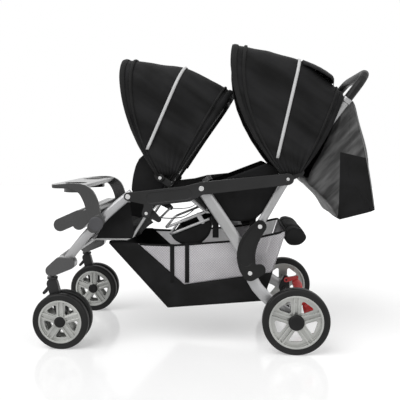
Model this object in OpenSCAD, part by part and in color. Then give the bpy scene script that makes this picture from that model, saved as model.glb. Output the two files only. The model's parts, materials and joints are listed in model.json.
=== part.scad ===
// Tandem stroller: folding frame, two seats in line, two hoods, tray, basket and casters.
// Millimetres. +Z up, +X to the rear (push handle), the stroller's left side is -Y.

/* [Wheels] */
// Distance from the rear axle to the front axle
wheelbase = 751; // [720:1:780]
// Rear wheel diameter
rear_wheel_d = 212; // [200:1:220]
// Rear wheel width
rear_wheel_w = 33; // [28:1:36]
// Front wheel diameter
front_wheel_d = 182; // [170:1:186]
// Front wheel width, each of a pair
front_wheel_w = 26; // [22:1:27]
// Tyre depth from tread to rim
tyre_depth = 21; // [16:1:24]
// Diameter of both axles
axle_d = 10; // [8:1:12]
// Distance that a front axle trails its swivel axis
caster_trail = 32; // [24:1:38]

/* [Frame] */
// Width over the rear wheels
overall_w = 524; // [514:1:530]
// Rear pivot (handle on beam), distance ahead of the rear axle
rear_pivot_x = 29; // [25:1:33]
// Rear pivot, height
rear_pivot_z = 550; // [546:1:554]
// Middle pivot (rear leg on beam), distance ahead of the rear axle
mid_pivot_x = 298; // [293:1:303]
// Middle pivot, height
mid_pivot_z = 520; // [516:1:524]
// Front pivot (front leg on beam), distance ahead of the rear axle
front_pivot_x = 531; // [527:1:535]
// Front pivot, height
front_pivot_z = 493; // [489:1:497]
// Lower link pivot on the rear leg, distance ahead of the rear axle
low_pivot_x = 144; // [141:1:147]
// Lower link pivot, height
low_pivot_z = 252; // [249:1:255]
// Upper end of the link, distance ahead of the rear axle
link_top_x = 114; // [111:1:117]
// Upper end of the link, height
link_top_z = 401; // [398:1:404]
// Diameter of the pivot shafts
shaft_d = 10; // [8:1:11]
// Thickness of the side beams
beam_t = 12; // [10:1:13]
// Width of an oval front leg seen from the side
front_leg_w = 30; // [26:1:32]
// Width of a flat oval rear leg seen from the side
rear_leg_w = 38; // [32:1:40]
// Thickness of the legs
leg_t = 18; // [14:1:18]
// Width of a handle tube seen from the side
handle_w = 26; // [22:1:28]
// Thickness of the handle tubes
handle_t = 15; // [12:1:16]
// Diameter of the seat frame tubes
seat_tube_d = 10; // [8:1:12]

/* [Handle] */
// Top of the grip, distance behind the rear axle
grip_x = 215; // [205:1:220]
// Top of the grip, height
grip_z = 880; // [870:1:890]
// Diameter of the foam grip
grip_d = 28; // [24:1:32]

/* [Seats] */
// Recline pivot of the front seat, distance ahead of the rear axle
recline_x = 473; // [470:1:476]
// Recline pivot, height
recline_z = 440; // [438:1:444]
// Slope of the front seat back from level
front_back_angle = 54.8; // [52:0.1:57]
// Length of the front seat back
front_back_len = 445; // [430:1:450]
// Length of the rear seat back
rear_back_len = 265; // [240:1:270]
// Thickness of a seat cushion
cushion_t = 36; // [28:1:42]
// Thickness of a back cushion
back_cushion_t = 26; // [20:1:30]

/* [Canopies] */
// Thickness of the hood fabric
hood_t = 2.5; // [2:0.1:3]
// Diameter of the bow wires
bow_d = 7; // [5:0.5:8]
// Corner radius of a hood seen from the front
hood_corner_r = 80; // [60:1:100]
// Height of the front hood above its pivot
front_hood_h = 382; // [370:1:385]
// Height of the rear hood above its pivot
rear_hood_h = 424; // [412:1:428]

/* [Tray] */
// Cup recess diameter
cup_d = 74; // [66:1:78]
// Cup recess depth
cup_depth = 26; // [18:1:30]
// Thickness of the tray's mouldings
tray_t = 12; // [10:1:13]

/* [Basket and boot] */
// Thickness of the basket's fabric
basket_t = 3; // [2:0.5:5]
// Farthest point of the boot behind the rear axle
boot_reach = 246; // [240:1:250]

/* [Fits] */
// Radial running clearance of a pin in its bore
pin_clear = 0.05; // [0.02:0.01:0.08]
// Gap between a fixed piece and its seat
seat_gap = 0.3; // [0.2:0.05:0.4]
// Gap between pieces that move past each other
run_gap = 1; // [0.5:0.1:1.2]

/* [Hidden] */
$fn = 48;
hull_fn = 32;

// Colours
black_cloth = "#202124";
dark_plastic = "#3c3f43";
silver = "#c4c8cb";
rubber = "#1b1b1c";
red = "#b3242a";

// Side view points, measured from the rear axle's ground point: [x, z]
rear_r = rear_wheel_d / 2;
front_r = front_wheel_d / 2;
rear_axle_p = [0, rear_r];
front_axle_p = [-wheelbase, front_r];
rear_pivot = [-rear_pivot_x, rear_pivot_z];
mid_pivot = [-mid_pivot_x, mid_pivot_z];
front_pivot = [-front_pivot_x, front_pivot_z];
low_pivot = [-low_pivot_x, low_pivot_z];
link_top = [-link_top_x, link_top_z];
recline_p = [-recline_x, recline_z];
grip_p = [grip_x, grip_z];
swivel_x = -wheelbase - caster_trail;

// The model is moved so that its length is centred on the origin
centre_shift = (wheelbase + front_r - boot_reach) / 2;
overrun = 2;
overrun_share = 0.01;
layer_gap = 2;
axle_r = axle_d / 2;
shaft_r = shaft_d / 2;

// Side layers, distances from the middle plane
leg_in = overall_w / 2 - rear_wheel_w - beam_t - leg_t - layer_gap * 2;
leg_out = leg_in + leg_t;
leg_y = leg_in + leg_t / 2;
beam_in = leg_out + layer_gap;
beam_out = beam_in + beam_t;
rear_wheel_in = beam_out + layer_gap;
rear_wheel_out = rear_wheel_in + rear_wheel_w;
handle_out = leg_in - layer_gap - run_gap;
handle_in = handle_out - handle_t;
handle_y = handle_out - handle_t / 2;
seat_tube_r = seat_tube_d / 2;
seat_tube_y = handle_in - layer_gap - seat_tube_r;
back_tube_r = 6;
back_tube_y = seat_tube_y - seat_tube_r - layer_gap - back_tube_r;
cushion_half = back_tube_y + back_tube_r;
caster_offset = 12;
caster_y = leg_y + caster_offset;
fork_t = 20;
fork_half = fork_t / 2;

// Helpers
function lerp(a, b, t) = a + (b - a) * t;
function unit(v) = v / norm(v);
function bez(a, b, c, t) = a * (1 - t) * (1 - t) + b * 2 * t * (1 - t) + c * t * t;
function left_at(p, y) = [p.x, -y, p.y];
function dir2(angle) = [cos(angle), sin(angle)];

module place(c) {
    color(c) translate([centre_shift, 0, 0]) children();
}

// Left half as drawn, right half mirrored
module on_side(side) {
    if (side == "left") children();
    else mirror([0, 1, 0]) children();
}

module both_sides() {
    children();
    mirror([0, 1, 0]) children();
}

// Side view outline drawn out between two distances from the middle plane, on the left
module slab(from, to) {
    translate([0, -from, 0]) rotate([90, 0, 0]) linear_extrude(to - from) children();
}

// Round pin or bore across the stroller, on the left
module pin(p, r, from, to) {
    translate([p.x, -from, p.y]) rotate([90, 0, 0]) cylinder(r = r, h = to - from);
}

// Round bar right across the stroller
module bar(p, r, half) {
    translate([p.x, half, p.y]) rotate([90, 0, 0]) cylinder(r = r, h = half * 2);
}

module disc(p, r) {
    translate(p) circle(r, $fn = hull_fn);
}

// Limb between two round ends, in the side view
module limb(p, r, q, s) {
    hull() {
        disc(p, r);
        disc(q, s);
    }
}

// Triangles of a tube of rings, each ring a list of points
function tube_faces(rings, sides, closed) = [
    for (i = [0 : rings - (closed ? 1 : 2)], k = [0 : sides - 1])
        let (a = i * sides + k, b = i * sides + (k + 1) % sides,
             c = ((i + 1) % rings) * sides + k, d = ((i + 1) % rings) * sides + (k + 1) % sides)
            each [[a, b, c], [b, d, c]]
];

function cap_faces(rings, sides) = [
    for (k = [1 : sides - 2])
        let (e = (rings - 1) * sides) each [[0, k + 1, k], [e, e + k, e + k + 1]]
];

// Oval tube along a path: half_a across the path along "across", half_b square to both
module sweep(path, half_a, half_b, across, sides = 14, closed = false) {
    n = len(path);
    rings = [
        for (i = [0 : n - 1])
            let (ahead = closed ? path[(i + 1) % n] : path[min(i + 1, n - 1)],
                 behind = closed ? path[(i + n - 1) % n] : path[max(i - 1, 0)],
                 t = unit(ahead - behind), a = unit(across - t * (across * t)), b = cross(t, a))
                [for (k = [0 : sides - 1])
                    path[i] + a * half_a * cos(360 * k / sides) + b * half_b * sin(360 * k / sides)]
    ];
    faces = closed ? tube_faces(n, sides, true)
        : concat(tube_faces(n, sides, false), cap_faces(n, sides));
    polyhedron([for (r = rings) each r], [for (f = faces) [f[0], f[2], f[1]]]);
}

// U-shaped path: up a side curve at -half, round a corner, across, and down the other side
function u_half(q, half, corner, length, top, steps) = let (turn = top - corner / length) concat(
    [for (i = [0 : steps - 1]) let (p = q(turn * i / steps)) [p.x, -half, p.y]],
    [for (i = [0 : steps]) let (a = 90 * i / steps, p = q(turn + (top - turn) * sin(a)))
        [p.x, -half + corner * (1 - cos(a)), p.y]]
);

function flip_y(points) = [for (i = [len(points) - 1 : -1 : 0])
    [points[i].x, -points[i].y, points[i].z]];

function u_path(q, half, corner, length, top, steps) =
    let (h = u_half(q, half, corner, length, top, steps)) concat(h, flip_y(h));

// Crowned cushion between corner lines: flat back, sides drawn in, sewn channels across
cushion_steps = 10;
cushion_edge_share = 0.3;
cushion_pinch_share = 0.02;
channel_depth_share = 0.22;
channel_shares = [-0.35, 0.3];
function pad_crown(u, v) = cushion_edge_share + (1 - cushion_edge_share)
    * sqrt(sqrt((1 - pow(u, 4)) * (1 - pow(v, 4))))
    - channel_depth_share * max([for (c = channel_shares) exp(-pow((u - c) * cushion_steps, 2))]);

module pad(length, half, thick) {
    n = cushion_steps;
    span = n + 1;
    ticks = [for (i = [0 : n]) 2 * i / n - 1];
    function at(u, v, z) = [
        length / 2 * (1 + u * (1 - cushion_pinch_share * (1 - v * v))),
        half * v * (1 - cushion_pinch_share * (1 - u * u)), z
    ];
    lower = [for (u = ticks, v = ticks) at(u, v, 0)];
    upper = [for (u = ticks, v = ticks) at(u, v, thick * pad_crown(u, v))];
    off = span * span;
    grid = [for (i = [0 : n - 1], k = [0 : n - 1]) let (a = i * span + k, b = a + 1, c = a + span,
        d = c + 1) each [[a, b, c], [b, d, c], [off + a, off + c, off + b],
        [off + b, off + c, off + d]]];
    walls = [for (k = [0 : n - 1]) let (p = k, q = k + 1, r = n * span + k, s = r + 1,
        t = k * span, u = t + span, v = t + n, w = v + span) each [
        [p, off + p, q], [q, off + p, off + q], [r, s, off + r], [s, off + s, off + r],
        [t, u, off + t], [u, off + u, off + t], [v, off + v, w], [w, off + v, off + w]]];
    polyhedron(concat(lower, upper), [for (f = concat(grid, walls)) [f[0], f[2], f[1]]]);
}

// Puts a drawing that lies along +X with its face up onto a sloping line in the side view
module on_slope(p, angle) {
    translate([p.x, 0, p.y]) rotate([0, -angle, 0]) children();
}

// Side beams
beam_nose_r = 13;
beam_mid_r = 20;
beam_tail_r = 18;
beam_lobe_r = 14;
beam_belly_r = 25;
beam_belly_drop = 12;
belly_shares = [0.32, 0.8];
belly_recess = 2;
belly_rim = 8;

function beam_belly(i) = lerp(front_pivot, mid_pivot, belly_shares[i]) - [0, beam_belly_drop];

module side_beam(side) {
    place(dark_plastic) on_side(side) difference() {
        slab(beam_in, beam_out) {
            limb(front_pivot, beam_nose_r, beam_belly(0), beam_belly_r);
            limb(beam_belly(0), beam_belly_r, beam_belly(1), beam_belly_r);
            limb(beam_belly(1), beam_belly_r, mid_pivot, beam_mid_r);
            limb(mid_pivot, beam_mid_r, rear_pivot, beam_tail_r);
            limb(beam_belly(0), beam_lobe_r, recline_p, beam_lobe_r);
        }
        slab(beam_out - belly_recess, beam_out + overrun)
            limb(beam_belly(0), beam_belly_r - belly_rim, beam_belly(1), beam_belly_r - belly_rim);
        for (p = [front_pivot, mid_pivot, rear_pivot, recline_p])
            pin(p, shaft_r + pin_clear, beam_in - overrun, beam_out + overrun);
    }
}

// Front legs, from the beam down to the caster housings
housing_headroom = 50;
housing_floor = front_wheel_d + housing_headroom;
foot_behind = 38;
foot_above = 40;
leg_bow = 26;
leg_steps = 6;
leg_overhang = 14;
foot_p = [swivel_x + foot_behind, housing_floor + foot_above];
front_leg_dir = unit(foot_p - front_pivot);
front_leg_top = front_pivot - front_leg_dir * leg_overhang;
front_leg_mid = lerp(front_leg_top, foot_p, 0.5)
    + [front_leg_dir.y, -front_leg_dir.x] * leg_bow;
tray_hub_share = 0.46;
function front_leg_at(t) = bez(front_leg_top, front_leg_mid, foot_p, t);
tray_hub = front_leg_at(tray_hub_share);

module front_leg_shape(clear) {
    sweep([for (i = [0 : leg_steps]) left_at(front_leg_at(i / leg_steps), leg_y)],
        leg_t / 2 + clear, front_leg_w / 2 + clear, [0, 1, 0]);
}

module front_leg(side) {
    place(silver) on_side(side) front_leg_shape(0);
}

// Cross tube and footrest between the front legs
cross_tube_r = 8;
cross_tube_share = 0.86;
cross_tube_p = front_leg_at(cross_tube_share);

module front_cross_tube() {
    place(silver) bar(cross_tube_p, cross_tube_r, leg_in - seat_gap);
}

footrest_t = 7;
footrest_len = 96;
footrest_back = 20;
footrest_angle = 216;
footrest_inset = 17;
footrest_half = leg_in - footrest_inset;
footrest_corner = 22;
footrest_rib = 2;
footrest_rib_w = 6;
footrest_rib_count = 5;

module footrest() {
    rib_step = (footrest_len - footrest_corner) / footrest_rib_count;
    place(silver) on_slope(cross_tube_p, footrest_angle)
        mirror([0, 0, 1]) translate([-footrest_back, 0, cross_tube_r + seat_gap]) {
            linear_extrude(footrest_t) hull() for (x = [footrest_corner, footrest_len - footrest_corner],
                y = [-1, 1]) translate([x, y * (footrest_half - footrest_corner)])
                    circle(footrest_corner, $fn = hull_fn);
            for (i = [1 : footrest_rib_count])
                translate([i * rib_step, -footrest_half + footrest_corner, footrest_t])
                    cube([footrest_rib_w, (footrest_half - footrest_corner) * 2, footrest_rib]);
        }
}

// Caster housings
housing_nose_r = 19;
housing_top_r = 17;
housing_heel_r = 19;
housing_in = leg_in - layer_gap;
housing_out = caster_y + (caster_y - housing_in) / 2;
stem_r = 6;
stem_len = 36;
housing_rise = 20;
housing_crest = 28;
housing_crest_x = 28;
housing_heel_x = 58;
housing_heel_rise = 24;

module caster_housing(side) {
    nose = [swivel_x, housing_floor + housing_rise];
    crest = nose + [housing_crest_x, housing_crest];
    heel = nose + [housing_heel_x, housing_heel_rise];
    place(dark_plastic) on_side(side) difference() {
        slab(housing_in, housing_out) hull() {
            disc(nose, housing_nose_r);
            disc(crest, housing_top_r);
            disc(heel, housing_heel_r);
        }
        front_leg_shape(pin_clear * 2);
        translate([swivel_x, -caster_y, 0])
            cylinder(r = stem_r + pin_clear, h = housing_floor + stem_len + run_gap);
        translate([swivel_x - housing_out, -housing_out * 2, 0])
            cube([housing_out * 2, housing_out * 2, housing_floor]);
    }
}

// Caster forks: stem, bearing disc and one leg between the twin wheels
fork_disc_r = 17;
fork_disc_t = 7;
fork_top_r = 17;
fork_axle_r = 15;
fork_tab_r = 5;
fork_tab = [-26, 88];
fork_neck = 22;

module caster_fork(side) {
    top = housing_floor - run_gap;
    axle_half = fork_half + front_wheel_w - hub_cap_t;
    place(dark_plastic) on_side(side) {
        translate([swivel_x, -caster_y, top - fork_disc_t])
            cylinder(r = fork_disc_r, h = fork_disc_t);
        translate([swivel_x, -caster_y, top - fork_disc_t])
            cylinder(r = stem_r, h = stem_len + fork_disc_t);
        slab(caster_y - fork_half, caster_y + fork_half) {
            limb([swivel_x, top - fork_neck], fork_top_r, front_axle_p, fork_axle_r);
            limb([swivel_x, top - fork_neck], fork_tab_r,
                [swivel_x + fork_tab.x, front_r + fork_tab.y], fork_tab_r);
        }
        pin(front_axle_p, axle_r, caster_y - axle_half, caster_y + axle_half);
    }
}

// Wheels: the tyre is a ring with rounded shoulders, the rim a dished disc with openings
shoulder_r = 7;
rim_flange = 6;
web_t = 7;
hub_r = 19;
hub_cap_t = 5;
spoke_count = 5;
opening_in_share = 0.44;
opening_out_share = 0.72;
opening_round_share = 0.07;
opening_half_angle = 14;
rib_w = 5;
rib_offset = 7.5;
rib_rise_share = 0.33;

module tyre(r, w) {
    inner = r - tyre_depth;
    rotate_extrude() difference() {
        union() {
            translate([inner, -w / 2 + shoulder_r]) square([tyre_depth, w - shoulder_r * 2]);
            translate([inner, -w / 2]) square([tyre_depth - shoulder_r, w]);
            for (s = [-1, 1]) translate([r - shoulder_r, s * (w / 2 - shoulder_r)])
                circle(shoulder_r);
        }
        translate([0, -w]) square([inner + pin_clear, w * 2]);
    }
}

// Rim lying on its side with five wedge-shaped openings; +Z is the face that shows
module rim(r, w) {
    outer = r - tyre_depth;
    inner = outer - rim_flange;
    difference() {
        union() {
            rotate_extrude() translate([inner, -w / 2]) square([rim_flange, w]);
            translate([0, 0, -web_t / 2]) linear_extrude(web_t) difference() {
                circle(inner + rim_flange / 2);
                for (i = [0 : spoke_count - 1]) rotate(360 / spoke_count * (i + 0.5)) hull() {
                    disc([outer * opening_in_share, 0], outer * opening_round_share);
                    for (a = [-1, 1] * opening_half_angle)
                        disc(dir2(a) * outer * opening_out_share, outer * opening_round_share);
                }
            }
            translate([0, 0, -w / 2]) cylinder(r = hub_r, h = w - pin_clear);
            for (i = [0 : spoke_count - 1], s = [-1, 1])
                rotate(360 / spoke_count * i)
                    translate([hub_r / 2, s * rib_offset - rib_w / 2, 0])
                        cube([inner - hub_r / 2, rib_w, w * rib_rise_share]);
        }
        translate([0, 0, -w / 2 - overrun])
            cylinder(r = axle_r + pin_clear, h = w - hub_cap_t + overrun);
    }
}

// Turns a wheel drawn on its side so that its face looks to the left
module wheel_at(p, y) {
    translate([p.x, -y, p.y]) rotate([90, 0, 0]) rotate(90) children();
}

inner_wheel_y = caster_y - fork_half - run_gap - front_wheel_w / 2;
outer_wheel_y = caster_y + fork_half + run_gap + front_wheel_w / 2;
rear_wheel_y = rear_wheel_in + rear_wheel_w / 2;

module front_tyre(side, y) {
    place(rubber) on_side(side) wheel_at(front_axle_p, y) tyre(front_r, front_wheel_w);
}

module front_rim(side, y, outward) {
    place(silver) on_side(side) wheel_at(front_axle_p, y)
        mirror([0, 0, outward ? 0 : 1]) rim(front_r, front_wheel_w);
}

module rear_tyre(side) {
    place(rubber) on_side(side) wheel_at(rear_axle_p, rear_wheel_y) tyre(rear_r, rear_wheel_w);
}

module rear_rim(side) {
    place(silver) on_side(side) wheel_at(rear_axle_p, rear_wheel_y)
        rim(rear_r, rear_wheel_w);
}

// Rear legs: straight from the beam, then sweeping back to the axle
knee_steps = 4;
knee_ahead = 16;
knee_above = 60;
heel_behind = 16;
heel_below = 75;
rear_leg_start_share = 0.72;
knee = low_pivot + [-knee_ahead, knee_above];
heel = low_pivot + [heel_behind, -heel_below];
bend_start = lerp(mid_pivot, knee, rear_leg_start_share);
rear_leg_top = mid_pivot - unit(knee - mid_pivot) * leg_overhang;
rear_leg_path = concat(
    [rear_leg_top, mid_pivot],
    [for (i = [0 : knee_steps - 1]) bez(bend_start, knee, low_pivot, i / knee_steps)],
    [for (i = [0 : leg_steps]) bez(low_pivot, heel, rear_axle_p, i / leg_steps)]
);

module rear_leg(side) {
    place(silver) on_side(side) difference() {
        sweep([for (p = rear_leg_path) left_at(p, leg_y)], leg_t / 2, rear_leg_w / 2, [0, 1, 0]);
        for (p = [mid_pivot, low_pivot]) pin(p, shaft_r + pin_clear, leg_in - overrun,
            leg_out + overrun);
        pin(rear_axle_p, axle_r + pin_clear, leg_in - overrun, leg_out + overrun);
    }
}

axle_collar_r = 12;

module rear_axle() {
    place(silver) {
        bar(rear_axle_p, axle_r, rear_wheel_out - hub_cap_t - run_gap);
        both_sides() pin(rear_axle_p, axle_collar_r, leg_out + seat_gap, rear_wheel_in - seat_gap);
    }
}

// Axle blocks inside the legs carry the brake pedals
block_t = 16;
block_out = leg_in - seat_gap;
block_in = block_out - block_t;
block_r = 20;
block_top_r = 13;
block_top = [6, 34];
pedal_pin_r = 4;
pedal_t = 14;
pedal_in = block_in - run_gap - pedal_t;
pedal_pivot = rear_axle_p + block_top;

module axle_blocks() {
    place(dark_plastic) both_sides() {
        difference() {
            slab(block_in, block_out)
                limb(rear_axle_p, block_r, pedal_pivot, block_top_r);
            pin(rear_axle_p, axle_r + pin_clear, block_in - overrun, block_out + overrun);
        }
        pin(pedal_pivot, pedal_pin_r, pedal_in, block_in);
    }
}

pedal_r = 9;
pedal_tip_r = 5;
pedal_reach = [42, 10];

module brake_pedal(side) {
    place(red) on_side(side) difference() {
        slab(pedal_in, block_in - run_gap)
            limb(pedal_pivot, pedal_r, pedal_pivot + pedal_reach, pedal_tip_r);
        pin(pedal_pivot, pedal_pin_r + pin_clear, pedal_in - overrun, block_in);
    }
}

// Fold links: C-shaped covers between the rear leg and the handle's lower end
link_top_r = 20;
link_mid_r = 29;
link_low_r = 25;
link_bow = 26;
link_rim = 7;
link_recess = 2;
link_recess_share = 0.3;
link_steps = 12;
link_head_r = 8;
link_lobe_r = 18;
link_lobe = [31, 10];
link_bend = lerp(low_pivot, link_top, 0.5) - [link_bow * 2, 0];

function link_at(t) = bez(low_pivot, link_bend, link_top, t);
function link_half(t) = lerp(link_low_r, link_top_r, t)
    + (link_mid_r - (link_low_r + link_top_r) / 2) * 4 * t * (1 - t);

// Crescent along the link's middle line from share "from" up to its top, drawn in by "inset"
module link_outline(from, inset) {
    n = link_steps;
    function edge(t, hand) = let (d = unit(link_at(t + overrun_share) - link_at(t - overrun_share)))
        link_at(t) + [-d.y, d.x] * (link_half(t) - inset) * hand;
    shares = [for (i = [0 : n]) lerp(from, 1, i / n)];
    polygon(concat([for (t = shares) edge(t, 1)], [for (i = [n : -1 : 0]) edge(shares[i], -1)]));
    for (t = [from, 1]) disc(link_at(t), link_half(t) - inset);
}

module fold_link(side) {
    place(dark_plastic) on_side(side) {
        difference() {
            slab(beam_in, beam_out) {
                link_outline(0, 0);
                limb(low_pivot, link_low_r, low_pivot + link_lobe, link_lobe_r);
            }
            slab(beam_out - link_recess, beam_out + overrun) link_outline(link_recess_share, link_rim);
        }
        pin(low_pivot, shaft_r, leg_in, beam_out);
        pin(link_top, link_head_r, handle_out + run_gap, beam_in);
    }
}

// Handle: two tubes bent at the rear pivot, collars, and a foam grip across the top
handle_dir = unit(grip_p - rear_pivot);
handle_angle = atan2(handle_dir.y, handle_dir.x);
collar_share = 0.72;
collar_len = 16;
collar_rim = 2;
handle_overhang = 13;
grip_corner = 60;
handle_foot = link_top - unit(rear_pivot - link_top) * handle_overhang;
collar_p = lerp(rear_pivot, grip_p, collar_share);
grip_start = collar_p + handle_dir * (collar_len + seat_gap);

module handle_tube(side) {
    place(silver) on_side(side) difference() {
        sweep([for (p = [handle_foot, link_top, rear_pivot, collar_p]) left_at(p, handle_y)],
            handle_t / 2, handle_w / 2, [0, 1, 0]);
        pin(rear_pivot, shaft_r + pin_clear, handle_in - overrun, handle_out + overrun);
    }
}

module handle_collars() {
    place(silver) both_sides()
        sweep([for (d = [seat_gap, collar_len]) left_at(collar_p + handle_dir * d, handle_y)],
            handle_t / 2 + collar_rim, handle_w / 2 + collar_rim, [0, 1, 0], 24);
}

grip_steps = 5;

module handle_grip() {
    length = norm(grip_p - grip_start);
    place(rubber) sweep(
        u_path(function(s) lerp(grip_start, grip_p, s), handle_y, grip_corner, length, 1,
            grip_steps),
        grip_d / 2, grip_d / 2, [-handle_dir.y, 0, handle_dir.x]);
}

// Shafts, pins and rivets
head_r = 8;
head_t = 2;
hub_cover = 2;

module rear_pivot_shaft() {
    place(silver) bar(rear_pivot, shaft_r, beam_out);
}

module recline_shaft() {
    place(silver) bar(recline_p, shaft_r, beam_out);
}

module rivet(p, from) {
    pin(p, shaft_r, from, beam_out + seat_gap);
    pin(p, head_r, beam_out + seat_gap, beam_out + head_t);
}

module frame_rivets() {
    place(silver) both_sides() {
        rivet(front_pivot, leg_out + seat_gap);
        rivet(mid_pivot, leg_in);
        pin(tray_hub, shaft_r, leg_out + seat_gap, beam_out - hub_cover);
    }
}

// Front seat frame: side tubes with cross bars, hung from the recline shaft
front_rail_z = 349;
front_bar_x = 655;
seat_rear_bar_x = 545;
front_rise_x = 525;
seat_eye_r = 10;
seat_eye_rim = 0.5;
seat_bar_half = seat_tube_y - seat_tube_r - seat_gap;

module seat_side(points) {
    eye = points[len(points) - 1];
    half = seat_tube_r + seat_eye_rim;
    both_sides() difference() {
        union() {
            pin(eye, seat_eye_r, seat_tube_y - half, seat_tube_y + half);
            sweep([for (p = points) left_at(p, seat_tube_y)], seat_tube_r, seat_tube_r, [0, 1, 0],
                12);
        }
        pin(eye, shaft_r + pin_clear, seat_tube_y - seat_tube_d, seat_tube_y + seat_tube_d);
    }
}

module front_seat_frame() {
    front = [-front_bar_x, front_rail_z];
    back = [-seat_rear_bar_x, front_rail_z];
    place(silver) {
        seat_side([front + [seat_tube_r + seat_gap, 0], back,
            [-front_rise_x, front_rail_z + seat_tube_d], recline_p]);
        bar(front, seat_tube_r, leg_in - seat_gap);
        bar(back, seat_tube_r, seat_bar_half);
    }
}

front_cushion_len = 160;

// Cloth side of the front seat, between the seat rail and the beam
front_side_t = 3;
front_side_len = 126;
front_side_h = 122;
front_side_start = 8;
front_side_shares = [[0, 0.02], [0.95, 0.02], [1, 0.18], [0.96, 0.5], [0.9, 1], [0.68, 1], [0.3, 0.62]];

module front_seat_cushion() {
    inner = seat_tube_y + seat_tube_r + seat_gap;
    place(black_cloth) {
        translate([-front_bar_x, 0, front_rail_z + seat_tube_r + seat_gap])
            pad(front_cushion_len, cushion_half, cushion_t);
        both_sides() slab(inner, inner + front_side_t) translate([front_side_start - front_bar_x,
            front_rail_z]) polygon([for (s = front_side_shares)
                [front_side_len * s.x, front_side_h * s.y]]);
    }
}

// Rear seat frame: carried by the beams in front and the rear shaft behind
rear_rail_z = 440;
rear_bar_x = 335;
rear_bar_z = 482;
rear_rail_x = 285;
rear_rail_back_x = 85;

module rear_seat_frame() {
    front = [-rear_rail_x, rear_rail_z];
    back = [-rear_rail_back_x, rear_rail_z];
    hang = [-rear_bar_x, rear_bar_z];
    place(silver) {
        seat_side([hang + unit(front - hang) * (seat_tube_r + seat_gap), front, back, rear_pivot]);
        bar(hang, seat_tube_r, beam_in - seat_gap);
        bar(front, seat_tube_r, seat_bar_half);
        bar(back, seat_tube_r, seat_bar_half);
    }
}

rear_cushion_len = 215;

module rear_seat_cushion() {
    place(black_cloth) translate([-rear_rail_x, 0, rear_rail_z + seat_tube_r + seat_gap])
        pad(rear_cushion_len, cushion_half, cushion_t);
}

// Fabric sides of the rear seat, between the seat tubes and the handle tubes
skirt_shares = [[-0.06, 0.5], [-0.02, 0.66], [0.3, 0.8], [0.76, 1], [0.9, 0.86], [0.92, 0.42], [0.84, 0.2],
    [0.68, 0.06], [0.25, 0], [0.1, 0.12]];
skirt_top = 55;
skirt_drop = 165;

module rear_seat_skirts() {
    place(black_cloth) both_sides()
        slab(seat_tube_y + seat_tube_r + seat_gap, handle_in - seat_gap) polygon([for (s = skirt_shares)
            lerp(mid_pivot, rear_pivot, s.x) + [0, skirt_top - skirt_drop * (1 - s.y)]]);
}

// Rear footrest: two bent tubes hung from the rear seat's front bar, and a cloth footwell below
foot_tube_r = 4.5;
foot_tube_inset = 12;
foot_tube_y = seat_tube_y - foot_tube_inset;
foot_tube_len = 140;
foot_tube_angle = 22;
foot_tube_drop = [14, -22];
foot_corner = 24;
foot_steps = 4;
foot_lug_t = 4;
foot_lug_rim = 3;
foot_dir = -dir2(foot_tube_angle);
foot_start = [-rear_rail_x, rear_rail_z] + foot_dir * (seat_tube_r + seat_gap);

module rear_foot_tubes() {
    length = foot_tube_len;
    place(silver) {
        for (start = [foot_start, foot_start + foot_tube_drop])
            sweep(u_path(function(s) start + foot_dir * length * s, foot_tube_y, foot_corner, length,
                1, foot_steps), foot_tube_r, foot_tube_r, [-foot_dir.y, 0, foot_dir.x], 12);
        both_sides() hull() for (start = [foot_start, foot_start + foot_tube_drop])
            pin(start + foot_dir * foot_corner, foot_tube_r + foot_lug_rim, foot_tube_y - foot_lug_t / 2,
                foot_tube_y + foot_lug_t / 2);
    }
}

footwell_t = 4;
footwell_gap = 8;
footwell_shares = [[0, 0], [1, 0], [0.92, 0.62], [0.6, 1], [0.4, 0.98], [0.12, 0.5]];
footwell_drop = 62;

// Trough in the plane of the lower tube, open above
module rear_footwell() {
    half = foot_tube_y - foot_tube_r - seat_gap;
    module outline(rise) {
        polygon([for (s = footwell_shares)
            [foot_tube_len * s.x, s.y > 0 ? -footwell_drop * s.y : rise]]);
    }
    place(black_cloth) {
        on_slope(foot_start + foot_tube_drop, foot_tube_angle)
            translate([-foot_tube_len, half, -foot_tube_r - seat_gap]) rotate([90, 0, 0]) difference() {
                linear_extrude(half * 2) outline(0);
                translate([0, 0, footwell_t]) linear_extrude((half - footwell_t) * 2)
                    intersection() {
                        offset(delta = -footwell_t) outline(footwell_t * 2);
                        outline(footwell_t);
                    }
            }
        slab(-seat_bar_half + footwell_gap, seat_bar_half - footwell_gap) apron();
    }
}

// Cloth between the two front bars of the rear seat
apron_t = 8;

module apron() {
    hang = [-rear_bar_x, rear_bar_z];
    front = [-rear_rail_x, rear_rail_z];
    along = unit(front - hang);
    square = [along.y, -along.x] * apron_t / 2;
    from = hang + along * (seat_tube_r + seat_gap);
    to = front - along * (seat_tube_r + seat_gap);
    polygon([from + square, to + square, to - square, from - square]);
}

// Basket: an open fabric trough with a rolled rear flap, a wire rim and straps
basket_inset = 5;
basket_half = handle_in - basket_inset;
basket_front_x = 600;
basket_rear_x = 28;
basket_front_z = 334;
basket_rear_z = 374;
basket_floor_front_x = 412;
basket_floor_front_z = 122;
basket_floor_rear_x = 100;
basket_floor_rear_z = 150;
basket_sag_share = 0.35;
basket_sag = 18;
roll_len = 68;
roll_h = 30;
roll_drop = 14;
roll_shares = [[0.06, 0.72], [0.2, 0.96], [0.45, 1], [0.7, 0.86], [0.9, 0.5], [1, 0], [0.95, -0.42],
    [0.82, -0.74], [0.58, -0.96], [0.36, -1], [0.14, -0.86], [-0.137, -0.3], [-0.1, 0.05], [0.06, 0.4]];
rim_r = 4;
basket_front_top = [-basket_front_x, basket_front_z];
basket_rear_top = [-basket_rear_x, basket_rear_z];
basket_dip = lerp(basket_front_top, basket_rear_top, basket_sag_share) - [0, basket_sag];
basket_floor_front = [-basket_floor_front_x, basket_floor_front_z];
basket_floor_rear = [-basket_floor_rear_x, basket_floor_rear_z];

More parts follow.
